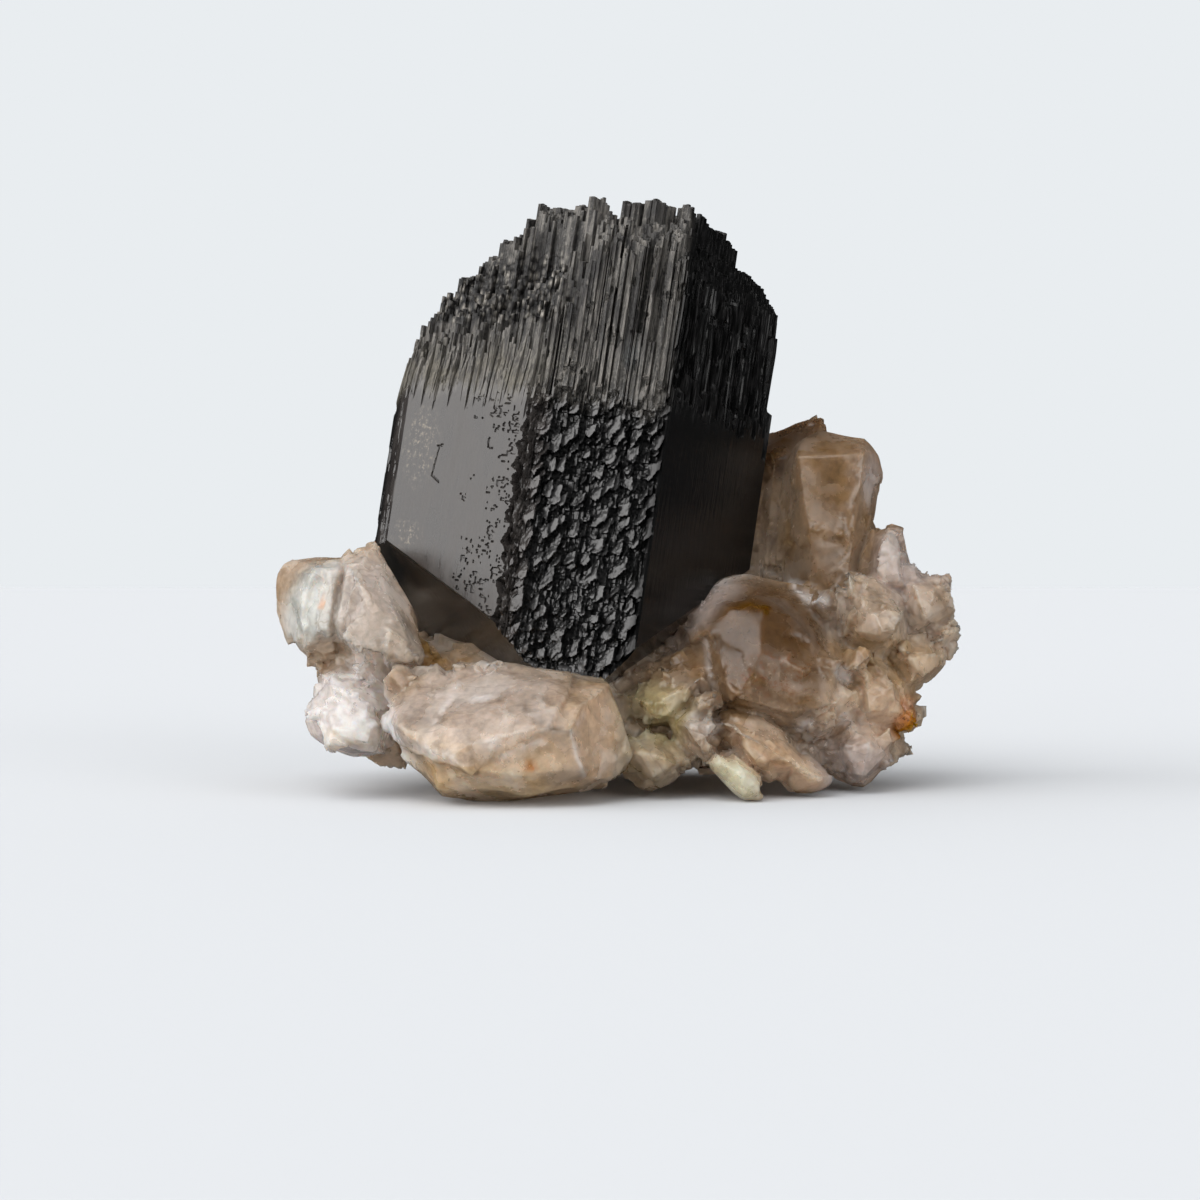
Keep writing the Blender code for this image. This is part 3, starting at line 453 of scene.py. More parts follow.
class Shading:
    """One material and short ways to add nodes to it."""

    def __init__(self, name):
        self.material = bpy.data.materials.new(name)
        self.material.use_nodes = True
        self.nodes = self.material.node_tree.nodes
        self.links = self.material.node_tree.links
        self.shader = self.nodes["Principled BSDF"]

    def put(self, socket, value):
        if isinstance(value, bpy.types.NodeSocket):
            self.links.new(value, socket)
        elif isinstance(value, tuple) and socket.type == "RGBA":
            socket.default_value = (*value[:3], 1.0)
        else:
            socket.default_value = value

    def set(self, name, value):
        self.put(self.shader.inputs[name], value)

    def calc(self, operation, a, b, clamp=False):
        node = self.nodes.new("ShaderNodeMath")
        node.operation = operation
        node.use_clamp = clamp
        self.put(node.inputs[0], a)
        self.put(node.inputs[1], b)
        return node.outputs[0]

    def times(self, a, b, clamp=False):
        return self.calc("MULTIPLY", a, b, clamp)

    def plus(self, a, b):
        return self.calc("ADD", a, b)

    def minus(self, a, b):
        return self.calc("SUBTRACT", a, b)

    def ramp(self, value, low, high, to_low=0.0, to_high=1.0):
        node = self.nodes.new("ShaderNodeMapRange")
        node.interpolation_type = "SMOOTHSTEP"
        for socket, given in zip(node.inputs, (value, low, high, to_low, to_high)):
            self.put(socket, given)
        return node.outputs[0]

    def mix(self, share, a, b):
        node = self.nodes.new("ShaderNodeMix")
        node.data_type = "RGBA"
        for number, given in ((0, share), (6, a), (7, b)):
            self.put(node.inputs[number], given)
        return node.outputs[2]

    def stretch(self, vector, scale):
        node = self.nodes.new("ShaderNodeMapping")
        self.put(node.inputs["Vector"], vector)
        node.inputs["Scale"].default_value = scale
        return node.outputs[0]

    def noise(self, vector, scale, detail=2.0, rough=0.5, warp=0.0):
        node = self.nodes.new("ShaderNodeTexNoise")
        self.put(node.inputs["Vector"], vector)
        node.inputs["Scale"].default_value = scale
        node.inputs["Detail"].default_value = detail
        node.inputs["Roughness"].default_value = rough
        node.inputs["Distortion"].default_value = warp
        return node.outputs["Fac"]

    def cells(self, vector, scale, feature="F1"):
        node = self.nodes.new("ShaderNodeTexVoronoi")
        node.feature = feature
        self.put(node.inputs["Vector"], vector)
        node.inputs["Scale"].default_value = scale
        return node

    def vector(self, operation, a, b, output="Vector"):
        node = self.nodes.new("ShaderNodeVectorMath")
        node.operation = operation
        self.put(node.inputs[0], a)
        self.put(node.inputs[1], b)
        return node.outputs[output]

    def dot(self, vector, direction):
        return self.vector("DOT_PRODUCT", vector, tuple(direction), "Value")

    def near(self, vector, centre, radii):
        """1 at a place, falling to 0 at the edge of an ellipsoid round it."""
        shrunk = self.vector("DIVIDE", self.vector("SUBTRACT", vector, centre), radii)
        return self.ramp(self.vector("LENGTH", shrunk, (0, 0, 0), "Value"), 1.0, 0.35)

    def bump(self, height, strength, distance, under=None):
        node = self.nodes.new("ShaderNodeBump")
        node.inputs["Strength"].default_value = strength
        node.inputs["Distance"].default_value = distance
        self.put(node.inputs["Height"], height)
        if under is not None:
            self.links.new(under, node.inputs["Normal"])
        return node.outputs[0]


# Its colours, clean, worn and dusty, with painted highlights on tips and painted shade in gaps, joints and
# on the right side
# Near black painted as shade in the deep gaps between the plates and on the right face
PAINTED_PLATE_GAP_SHADE, PLATE_GREY = (0.004, 0.004, 0.004), (0.042, 0.041, 0.041)
SATIN_DARK, SATIN_LIGHT = (0.018, 0.015, 0.014), (0.042, 0.037, 0.034)
WORN_DARK, WORN_LIGHT = (0.030, 0.028, 0.025), (0.160, 0.147, 0.131)
DUST, KHAKI, OCHRE = (0.200, 0.183, 0.160), (0.150, 0.134, 0.100), (0.24, 0.20, 0.145)
# The joint colour is painted shade for the slots between blocks of pillars
HATCH, PAINTED_JOINT_SHADE = (0.012, 0.011, 0.010), (0.009, 0.008, 0.008)
# Painted highlight for the lit middles of the shoulder tips, and painted shade for the gaps between them
PAINTED_TIP_HIGHLIGHT, PAINTED_TIP_GAP_SHADE = (0.280, 0.257, 0.222), (0.008, 0.007, 0.007)
# The right side's near black is partly painted shade, for the side turned away from the lights, with faint
# lighter streaks as painted highlights
RIGHT_DARK, RIGHT_LIGHT = (0.003, 0.003, 0.003), (0.024, 0.023, 0.023)
FOOT_DARK, FOOT_BROWN = (0.010, 0.009, 0.008), (0.020, 0.017, 0.014)
BLUE_STAIN = (0.022, 0.036, 0.043)

look = Shading("black tourmaline")
place = look.nodes.new("ShaderNodeMapping")
place.vector_type = "TEXTURE"
place.inputs["Location"].default_value = [MM * value for value in AXIS_POINT]
place.inputs["Rotation"].default_value = lean.to_euler()
place.inputs["Scale"].default_value = (MM, MM, MM)
look.links.new(look.nodes.new("ShaderNodeTexCoord").outputs["Object"], place.inputs["Vector"])
local = place.outputs[0]
height, to_the_right = look.dot(local, (0, 0, 1)), look.dot(local, (1, 0, 0))
streaks = look.noise(look.stretch(local, (1.6, 1.6, 0.07)), 1.0, 4.0, 0.6)
fine_streaks = look.noise(look.stretch(local, (5.0, 5.0, 0.35)), 1.0, 3.0, 0.6)
grain = look.noise(local, 2.6, 5.0, 0.65)
patches = look.noise(local, 0.22, 3.0, 0.55)
shown = look.nodes.new("ShaderNodeNewGeometry").outputs["Normal"]


def depth_in_face(turn, away):
    """How deep inside a prism face a point lies."""
    return look.minus(away, look.dot(local, flat_normal(turn)))


behind_left = depth_in_face(SIDES[LEFT][0], SIDES[LEFT][1])
left_plane = look.ramp(behind_left, 0.5, 0.12)
uneven = look.plus(look.times(patches, 5.0), look.times(fine_streaks, 4.0))
below = look.ramp(look.plus(height, uneven), 16.0, 11.6)
above = look.minus(1.0, below)

# Weathered brown-grey on the grooves and the crown, near black below and on the right, where the stone's
# black is darkened further as painted shade for the side turned away from the lights
right_part = look.ramp(to_the_right, 8.8, 11.0)
wear_and_painted_shading = look.mix(look.ramp(streaks, 0.40, 0.60), WORN_DARK, WORN_LIGHT)
wear_and_painted_shading = look.mix(look.ramp(grain, 0.45, 0.75), wear_and_painted_shading, DUST)
khaki = look.times(look.ramp(height, 17.0, 10.5), look.ramp(to_the_right, -1.0, -10.0))
khaki = look.times(khaki, look.ramp(patches, 0.38, 0.62))
wear_and_painted_shading = look.mix(look.times(khaki, 0.75), wear_and_painted_shading, KHAKI)
# Fine dark hatching on the grooves, and stubby tips on the left shoulder painted light at their middles as
# lit tips, with painted shade in the dark gaps between them
hatching = look.times(look.ramp(fine_streaks, 0.50, 0.40), 0.75)
wear_and_painted_shading = look.mix(hatching, wear_and_painted_shading, HATCH)
shoulder = look.times(look.ramp(height, 17.2, 19.2), look.ramp(height, 31.0, 26.0))
shoulder = look.times(shoulder, look.ramp(to_the_right, -3.0, -7.0))
tips = look.cells(look.stretch(local, (1.0, 1.0, 0.75)), 1.1).outputs["Distance"]
# Painted highlight on the middles of the tips, then painted shade in the gaps round them
wear_and_painted_shading = look.mix(look.times(shoulder, look.ramp(tips, 0.42, 0.15)), wear_and_painted_shading, PAINTED_TIP_HIGHLIGHT)
wear_and_painted_shading = look.mix(look.times(shoulder, look.ramp(tips, 0.48, 0.64)), wear_and_painted_shading, PAINTED_TIP_GAP_SHADE)
# Dark joints round long blocks of pillars on the crown: painted shade for the shadowed slots between them
blocks = look.cells(look.stretch(local, (1.0, 1.0, 0.26)), 0.62).outputs["Distance"]
joint_shade_mask = look.times(look.ramp(blocks, 0.46, 0.66), look.ramp(height, 13.0, 19.0, 0.0, 0.75))
wear_and_painted_shading = look.mix(joint_shade_mask, wear_and_painted_shading, PAINTED_JOINT_SHADE)
# On the right the grooves are near black: the stone's black with painted shade over it, and faint lighter
# streaks as painted highlights
black_with_painted_shading_right = look.mix(look.ramp(fine_streaks, 0.5, 0.66), RIGHT_DARK, RIGHT_LIGHT)
wear_and_painted_shading = look.mix(right_part, wear_and_painted_shading, black_with_painted_shading_right)
mottled = look.noise(look.stretch(local, (0.55, 0.55, 0.16)), 1.0, 4.0, 0.6)
satin = look.mix(look.ramp(mottled, 0.35, 0.65), SATIN_DARK, SATIN_LIGHT)
# The fronts of the plates are greyer than the gaps between them; the deeper gaps and the right face are
# painted near black as shade
behind_middle = depth_in_face(SIDES[MIDDLE][0], SIDES[MIDDLE][1])
behind_right = depth_in_face(SIDES[RIGHT][0], SIDES[RIGHT][1])
plate_fronts = look.times(look.ramp(behind_middle, 1.2, 0.3), look.ramp(behind_right, 0.5, 1.2))
plate_colour = look.mix(plate_fronts, PAINTED_PLATE_GAP_SHADE, PLATE_GREY)
colour = look.mix(above, look.mix(look.ramp(behind_left, 2.4, 1.2), plate_colour, satin), wear_and_painted_shading)
# Ochre specks beside the left edge, a blue-grey stain on the grooves and a brownish foot
ochre = look.plus(
    look.near(local, (-20.6, -6.5, 1.0), (3.4, 6, 7)), look.near(local, (-20.7, -6.7, -10.8), (2.8, 6, 2.6)))
ochre = look.times(ochre, look.ramp(look.noise(local, 1.7, 5.0, 0.75), 0.52, 0.66))
colour = look.mix(look.times(ochre, 0.75, True), colour, OCHRE)
blue = look.times(look.near(local, (5.2, -15.5, 15.4), (2.2, 4, 3.2)), look.ramp(grain, 0.35, 0.7))
colour = look.mix(look.times(blue, 0.8), colour, BLUE_STAIN)
downward = look.ramp(look.dot(shown, (0, 0, 1)), -0.30, -0.42)
foot = look.times(downward, look.ramp(height, -8.0, -12.0))
foot = look.times(foot, look.ramp(to_the_right, 4.0, -3.0))
colour = look.mix(foot, colour, look.mix(look.ramp(patches, 0.35, 0.65), FOOT_DARK, FOOT_BROWN))
look.set("Base Color", colour)
gloss = look.ramp(above, 0.0, 1.0, 0.18, look.ramp(right_part, 0.0, 1.0, 0.31, 0.23))
patchy = look.times(look.ramp(patches, 0.3, 0.7), look.ramp(above, 0.0, 1.0, 0.0, 0.10))
gloss = look.plus(gloss, patchy)
dusty = look.times(left_plane, below)
gloss = look.plus(gloss, look.times(dusty, look.ramp(mottled, 0.3, 0.7, 0.06, 0.22)))
look.set("Roughness", gloss)
look.set("IOR", 1.64)
look.set("Specular IOR Level", look.ramp(right_part, 0.0, 1.0, 0.5, 0.2))
# Raised streaks and grain, full on the grooves and faint elsewhere
coarse_streaks = look.noise(look.stretch(local, (1.7, 1.7, 0.10)), 1.0, 3.0, 0.65)
ribbed = look.plus(fine_streaks, look.times(coarse_streaks, 1.6))
relief = look.ramp(look.minus(above, look.times(right_part, 0.85)), 0.3, 1.0, 0.08, 1.0)
ridges = look.bump(look.times(look.minus(ribbed, 1.3), relief), 0.7, 0.00045)
worn = look.bump(look.times(look.minus(grain, 0.5), relief), 0.5, 0.00040, ridges)
round_tips = look.times(look.minus(0.45, tips), shoulder)
look.set("Normal", look.bump(round_tips, 0.9, 0.0008, worn))
black.data.materials.clear()
black.data.materials.append(look.material)
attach(black, "root")
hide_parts("black_tourmaline_crystal")


# ---------------------------------------------------------------- smoky quartz bed
# The real piece is a cluster of milky to clear brown quartz crystals with soft worn edges.
# They grew into one another and round the foot of the black crystal, which they hold, and
# the specimen rests on them.
bed = bpy.data.objects.new("smoky_quartz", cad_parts["smoky_quartz_cluster"].data.copy())
bed.data.name = "smoky_quartz"
scene.collection.objects.link(bed)
bed.data.transform(Matrix.Scale(1 / MM, 4))

# The quartz meets the black crystal with no gap, so its socket is drawn in a little
SOCKET_GAP, DRAWN_IN, NEARLY = 0.3, 0.8, 0.03
to_local = (Matrix.Translation(Vector(AXIS_POINT)) @ lean).inverted()
flats = [(flat_normal(turn), away) for turn, away, _ in SIDES]
flats += [(flat_normal(turn, tilt), away) for turn, tilt, away in FOOT_BEVELS]
flats += [(np.array((0, 0, -1.0)), -FOOT)]
back_to_row = np.array(lean.to_3x3())
for vertex in bed.data.vertices:
    spot = np.array(to_local @ vertex.co)
    outside = [normal @ spot - away for normal, away in flats]
    if abs(max(outside) - SOCKET_GAP) > NEARLY:
        continue
    walls = np.array([normal for (normal, _), out in zip(flats, outside) if abs(out - SOCKET_GAP) < NEARLY])
    move = np.linalg.lstsq(walls, np.full(len(walls), -DRAWN_IN), rcond=None)[0]
    vertex.co += Vector(back_to_row @ move)

# Small crystals and chips that have grown on the large ones, as where they are seen from
# the front (across, up), how far they spread, how many, and their size
SMALL_CRYSTALS = (
    ((37.0, 30.0), (2.6, 3.0), 5, (1.6, 2.8)),
    ((41.0, 24.5), (2.4, 2.6), 5, (1.4, 2.6)),
    ((43.6, 20.0), (0.8, 2.2), 4, (0.7, 1.3)),
    ((31.0, 24.5), (4.4, 3.0), 5, (1.4, 2.8)),
    ((31.0, 15.0), (5.0, 4.6), 8, (1.6, 3.0)),
    ((21.0, 15.5), (5.0, 2.4), 4, (1.2, 2.2)),
    ((31.0, 5.0), (3.4, 2.6), 3, (1.4, 2.4)),
    ((37.6, 9.4), (1.6, 2.2), 5, (0.8, 1.4)),
    ((22.0, 5.0), (4.0, 2.0), 3, (1.2, 2.2)),
    ((6.0, 13.0), (4.4, 2.0), 3, (1.2, 2.4)),
    ((-18.5, 15.8), (2.8, 0.6), 9, (0.4, 0.9)),
    ((-35.0, 11.5), (3.4, 4.0), 5, (2.0, 3.0)),
    ((-33.0, 16.6), (3.6, 1.0), 4, (1.0, 1.6)),
    ((28.0, 34.5), (3.0, 1.2), 4, (0.7, 1.3)),
)
surface = BVHTree.FromPolygons(
    [v.co[:] for v in bed.data.vertices], [p.vertices[:] for p in bed.data.polygons])
bm = bmesh.new()
bm.from_mesh(bed.data)


def add_chip(centre, size, salt):
    """A blocky little crystal: the hull of nine corners round a place."""
    longer = 1.0 + 0.5 * float(hash01(salt, 0, 203))
    hull_corners = []
    for n in range(9):
        turn = 2.4 * n + 1.6 * float(hash01(n, salt, 201))
        lift = 1 - (2 * n + 1) / 9
        reach = size * (0.75 + 0.35 * float(hash01(n, salt, 202)))
        flat = math.sqrt(1 - lift * lift)
        hull_corners.append(Vector((flat * math.cos(turn), flat * math.sin(turn), lift * longer)) * reach)
    tilt = Euler([most * float(hash01(salt, axis, 204)) for axis, most in ((1, 3.0), (2, 3.0), (3, 6.0))])
    made = [bm.verts.new(centre + tilt.to_matrix() @ corner) for corner in hull_corners]
    hull = bmesh.ops.convex_hull(bm, input=made)
    loose = {v for v in hull["geom_interior"] + hull["geom_unused"] if isinstance(v, bmesh.types.BMVert)}
    bmesh.ops.delete(bm, geom=list(loose), context="VERTS")
    skin = [f for f in hull["geom"] if isinstance(f, bmesh.types.BMFace) and f.is_valid]
    bmesh.ops.recalc_face_normals(bm, faces=skin)


number = 0
for (across, up), (spread_x, spread_z), count, (least, most) in SMALL_CRYSTALS:
    for n in range(count):
        number += 1
        x = across + spread_x * (2 * float(hash01(number, 1, 210)) - 1)
        z = up + spread_z * (2 * float(hash01(number, 2, 210)) - 1)
        size = least + (most - least) * float(hash01(number, 3, 210)) ** 1.5
        hit = surface.ray_cast(Vector((x, -60, z)), Vector((0, 1, 0)))[0]
        if hit is not None:
            add_chip(hit + Vector((0, 0.35 * size, 0)), size, number)
# And a few all over, below the tall crystals, as seen from all round
ALL_ROUND, HIGHEST = 40, 32
for n in range(ALL_ROUND):
    turn, rise = 2 * math.pi * float(hash01(n, 5, 211)), 30.0 * float(hash01(n, 6, 211))
    away = Vector((math.cos(turn), math.sin(turn), 0))
    if away.y < -0.5:
        continue
    side_step = away.orthogonal() * 16.0 * (float(hash01(n, 7, 211)) - 0.5)
    start = Vector((2, 0, rise)) + side_step
    hit = surface.ray_cast(start + away * 80, -away)[0]
    if hit is not None and hit.z < HIGHEST:
        size = 0.9 + 1.6 * float(hash01(n, 8, 211))
        add_chip(hit - away * 0.3 * size, size, 500 + n)
bm.to_mesh(bed.data)
bm.free()

# Melted into one skin with worn edges
SKIN_DETAIL, POINT_SPACING = 0.26, 0.28
change = bed.modifiers.new("one skin", "REMESH")
change.mode = "VOXEL"
change.voxel_size = SKIN_DETAIL
apply_modifiers(bed)
change = bed.modifiers.new("worn", "SMOOTH")
change.factor = 0.5
change.iterations = 2
apply_modifiers(bed)

count = len(bed.data.vertices)
spots = np.empty(3 * count)
bed.data.vertices.foreach_get("co", spots)
spots = spots.reshape(-1, 3)
outward = np.empty(3 * count)
bed.data.vertices.foreach_get("normal", outward)
outward = outward.reshape(-1, 3)


def cloud(points, size, salt):
    """Smooth noise in space from 0 to 1 with one bump per size."""
    x, y, z = (points / size).T
    k = np.floor(z)
    share = (z - k) ** 2 * (3 - 2 * (z - k))
    lower = soft_noise(x + 17.0 * k, y - 9.0 * k, salt)
    upper = soft_noise(x + 17.0 * (k + 1), y - 9.0 * (k + 1), salt)
    return lower * (1 - share) + upper * share


def chiselled(spacing, uneven, salt):
    """How far each point moves to lie on the nearest of many flats that touch the surface."""
    chosen = np.nonzero(hash01(np.arange(count), 1, salt) < POINT_SPACING ** 2 / spacing ** 2)[0]
    tree = KDTree(len(chosen))
    for n, index in enumerate(chosen):
        tree.insert(spots[index], n)
    tree.balance()
    turn = np.stack([hash01(chosen, 2 + axis, salt) - 0.5 for axis in range(3)], axis=1)
    ways = outward[chosen] + uneven * turn
    ways /= np.linalg.norm(ways, axis=1)[:, None]
    near = np.array([[item[1] for item in tree.find_n(spot, 6)] for spot in spots])
    gap = spots[chosen][near] - spots[:, None]
    facing = np.einsum("ijk,ik->ij", ways[near], outward)
    move = np.einsum("ijk,ijk->ij", gap, ways[near]) / np.maximum(facing, 0.5)
    move += 0.10 / spacing * np.sum(gap * gap, axis=2) + 3.0 * ramp(0.93, 0.7, facing)
    return np.clip(move.min(axis=1), -0.14 * spacing, 0.08 * spacing)


def near_to(places):
    """0 to 1: how near each point is to any of these places (centre, reach)."""
    share = np.zeros(count)
    for centre, reach in places:
        share = np.maximum(share, np.exp(-np.sum(((spots - centre) / reach) ** 2, axis=1)))
    return share


broken = near_to((((39, -3, 26), 7.0), ((31, -9, 20), 6.0), ((32, -9, 11), 8.0), ((20, -15, 15), 5.5),
                  ((-35, -19, 10), 7.0), ((7, -14, 11), 4.0), ((22, -17, 6), 4.0)))
swell = 0.14 * (cloud(spots, 7.0, 220) - 0.5)
calm = near_to((((27, 5, 41), 13.0), ((26, 14, 42), 9.0), ((19, -14, 20), 9.0), ((-40, -11, 24), 6.0),
                ((14, -22, 3), 5.0), ((4, -20, 5), 6.0)))
rough_part = (1 - 0.85 * calm) * (1 - 0.8 * broken)
swell += rough_part * chiselled(5.0, 0.16, 230)
swell += (0.1 + 0.35 * rough_part) * chiselled(2.4, 0.08, 240)
# Long folds on the milky lump at the left
folds = np.sin((spots[:, 2] + 0.55 * spots[:, 0] + 3.0 * cloud(spots, 4.0, 223)) * 1.9)
swell += 0.3 * near_to((((-35, -19, 10), 7.0),)) * (1 - np.abs(folds)) ** 2
# A broken layer stands proud on the front of the long crystal, above this line
EDGE_ACROSS = (-30, -28.1, -23.5, -18.4, -15.7, -9.0, -6.7)
EDGE_UP = (9, 7.6, 6.0, 4.9, 7.2, 9.6, 14.0)
edge_line = np.interp(spots[:, 0], EDGE_ACROSS, EDGE_UP)
layer = (spots[:, 1] < -18) & (spots[:, 0] < -6.7) & (spots[:, 0] > -30)
swell += 0.6 * layer * ramp(-0.3, 0.3, spots[:, 2] - edge_line - 0.8 * (cloud(spots, 1.6, 224) - 0.5))
swell *= ramp(0.0, 1.2, spots[:, 2])
spots += outward * swell[:, None]
box = np.array(cad_size) / MM
spots = np.clip(spots, box[0] + 0.01, box[1] - 0.01)

# Each crystal has its own tint, as (centre, reach, tint)
MILK, FROST, CREAM = (1.0, 0.93, 0.90), (0.64, 0.66, 0.63), (0.61, 0.505, 0.43)
BEIGE, TAN, HONEY = (0.56, 0.44, 0.335), (0.64, 0.47, 0.33), (0.42, 0.28, 0.16)
BROWN, SMOKY, LAVENDER = (0.110, 0.056, 0.022), (0.31, 0.205, 0.125), (0.60, 0.51, 0.47)
OLIVE, YELLOW, RUST = (0.50, 0.42, 0.24), (0.88, 0.84, 0.62), (0.60, 0.24, 0.08)
TINTS = (
    ((-40.6, -13.4, 24.3), 4.5, FROST),
    ((-43.6, -7.4, 28.5), 3.5, BEIGE),
    ((-37.8, -10.4, 18.2), 3.0, BEIGE),
    ((-32.6, -16.8, 26.2), 5.0, (0.68, 0.60, 0.54)),
    ((-29.9, -18.7, 19.9), 4.5, (0.66, 0.58, 0.50)),
    ((-35.0, -19.5, 10.0), 7.0, MILK),
    ((-28.6, -20.2, 14.4), 3.0, HONEY),
    ((-24.8, -7.7, 16.8), 3.0, HONEY),
    ((-19.6, -24.7, 12.1), 6.0, CREAM),
    ((-12.7, -29.6, 9.4), 6.0, CREAM),
    # The next two, on the underside of the long front crystal, are tinted lighter than the quartz there to
    # make up for the shade it lies in: painted light
    ((-22.4, -28.5, 4.0), 4.5, (0.90, 0.71, 0.53)),
    ((-13.0, -29.3, 3.5), 6.0, (0.84, 0.67, 0.50)),
    ((-4.3, -26.4, 8.0), 5.0, (0.70, 0.515, 0.365)),
    ((3.7, -20.2, 5.7), 4.0, (0.52, 0.41, 0.27)),
    ((14.4, -22.3, 3.0), 3.5, YELLOW),
    ((3.2, -15.4, 10.8), 4.0, OLIVE),
    ((9.4, -19.0, 8.1), 3.0, BEIGE),
    ((18.7, -18.9, 5.6), 5.0, (0.76, 0.56, 0.40)),
    ((18.5, -13.9, 21.1), 8.0, BROWN),
    ((10.0, -5.4, 23.3), 4.0, LAVENDER),
    ((7.8, -11.6, 16.6), 4.0, SMOKY),
    ((19.6, -15.8, 14.5), 4.0, SMOKY),
    ((31.4, -6.8, 26.1), 5.0, BEIGE),
    ((37.0, -1.2, 30.1), 5.0, LAVENDER),
    ((41.0, -4.0, 24.8), 4.0, BEIGE),
    ((37.9, -6.9, 17.0), 4.0, (0.56, 0.41, 0.27)),
    ((30.0, -10.2, 12.5), 5.0, TAN),
    ((30.4, -9.0, 18.4), 3.2, HONEY),
    ((33.0, -9.5, 9.5), 3.5, (0.84, 0.62, 0.45)),
    ((37.7, -5.3, 9.4), 2.2, RUST),
    ((30.2, -11.3, 4.5), 4.5, LAVENDER),
    ((26.7, 5.1, 40.0), 8.0, SMOKY),
    ((34.5, 7.5, 41.1), 3.0, LAVENDER),
    ((27.9, 3.5, 29.5), 6.0, SMOKY),
    ((23.5, 15.5, 47.1), 5.0, BROWN),
)
weights = np.full(count, 0.02)
tint = np.full((count, 3), 0.02) * BEIGE
for centre, reach, hue in TINTS:
    weight = np.exp(-np.sum(((spots - centre) / reach) ** 2, axis=1) * 1.5)
    weights += weight
    tint += weight[:, None] * hue
tint /= weights[:, None]
# The long front crystal is browner and clearer below its broken layer
front_part = ramp(-17.0, -20.0, spots[:, 1]) * ramp(-4.0, -7.0, spots[:, 0])
clear_part = front_part * ramp(0.5, -0.5, spots[:, 2] - edge_line)
tint *= 1 - clear_part[:, None] * (0.02, 0.06, 0.14)
# Lines and small flats seen inside and on the quartz from the front, as path (across, up),
# half width, colour, share
PALE, DARK = (0.95, 0.90, 0.87), (0.16, 0.12, 0.09)
MARKS = (
    (((-12.9, 12.6), (-9.0, 9.5), (-6.7, 9.1)), 0.22, DARK, 0.6),
    (((-14.7, 6.3), (-8.9, 8.5)), 0.20, PALE, 0.6),
    (((-5.3, 10.9), (-6.5, 9.1), (-6.1, 6.8), (-4.9, 3.4)), 0.20, PALE, 0.5),
    (((-9.9, 14.8), (-11.0, 10.9)), 0.20, PALE, 0.4),
    (((-20.7, 14.8), (-22.9, 10.1)), 0.22, PALE, 0.6),
    (((-18.4, 12.9), (-16.6, 13.1)), 0.25, PALE, 0.5),
    (((-28.1, 8.3), (-23.5, 6.7), (-18.4, 5.6), (-15.7, 7.9)), 0.55, PALE, 0.5),
    (((-28.1, 7.0), (-23.5, 5.4), (-18.4, 4.3), (-15.5, 6.6)), 0.30, (0.30, 0.22, 0.15), 0.5),
    (((-9.3, 3.4), (-5.2, 4.0)), 0.9, DARK, 0.5),
    (((-20.0, 8.6), (-15.2, 7.4)), 0.25, DARK, 0.35),
    (((-11.5, 5.1), (-11.3, 5.0)), 0.45, (0.62, 0.22, 0.05), 0.8),
    (((-26.5, 11.5), (-24.0, 9.5)), 1.6, DARK, 0.22),
    (((-36.4, 27.0), (-37.2, 18.5)), 0.25, (0.35, 0.28, 0.22), 0.5),
    (((-38.0, 24.4), (-38.4, 24.2)), 0.30, (0.80, 0.32, 0.10), 0.6),
    (((7.6, 21.0), (9.4, 16.2)), 0.30, (0.20, 0.10, 0.04), 0.6),
    (((10.5, 19.5), (10.9, 15.0)), 0.25, PALE, 0.3),
    (((11.6, 26.5), (18.0, 29.3), (24.0, 27.2)), 0.25, PALE, 0.35),
    # The pale small flats below are painted reflections off flats inside the quartz
    (((23.2, 26.6), (24.2, 25.2)), 0.8, PALE, 0.7),
    (((25.4, 25.2), (25.8, 24.6)), 0.6, PALE, 0.6),
    (((27.6, 15.8), (28.4, 14.8)), 0.8, PALE, 0.7),
    (((28.4, 9.8), (28.9, 9.0)), 0.6, PALE, 0.6),
    (((22.6, 8.2), (23.8, 9.2)), 0.5, PALE, 0.6),
    (((9.0, 9.6), (11.2, 8.8)), 1.1, PALE, 0.4),
)
in_front = ramp(0.1, -0.2, outward[:, 1])
for path, half, hue, share in MARKS:
    away = np.full(count, 1e9)
    for (x0, z0), (x1, z1) in zip(path, path[1:]):
        along = (spots[:, 0] - x0) * (x1 - x0) + (spots[:, 2] - z0) * (z1 - z0)
        along = np.clip(along / ((x1 - x0) ** 2 + (z1 - z0) ** 2), 0, 1)
        here = np.hypot(spots[:, 0] - x0 - along * (x1 - x0), spots[:, 2] - z0 - along * (z1 - z0))
        away = np.minimum(away, here)
    away = away + 0.3 * half * (cloud(spots, 0.8, 260) - 0.5)
    amount = (share * in_front * ramp(1.6 * half, 0.6 * half, away))[:, None]
    tint = tint * (1 - amount) + amount * hue
bed.data.vertices.foreach_set("co", (spots * MM).ravel())
colours = bed.data.color_attributes.new("tint", "FLOAT_COLOR", "POINT")
colours.data.foreach_set("color", np.concatenate((tint, np.ones((count, 1))), axis=1).ravel())
bed.data.update()
QUARTZ_TRIANGLES = 190000
change = bed.modifiers.new("fewer faces", "DECIMATE")
change.ratio = min(1.0, QUARTZ_TRIANGLES / (2 * len(bed.data.polygons)))
apply_modifiers(bed)
for polygon in bed.data.polygons:
    polygon.use_smooth = True

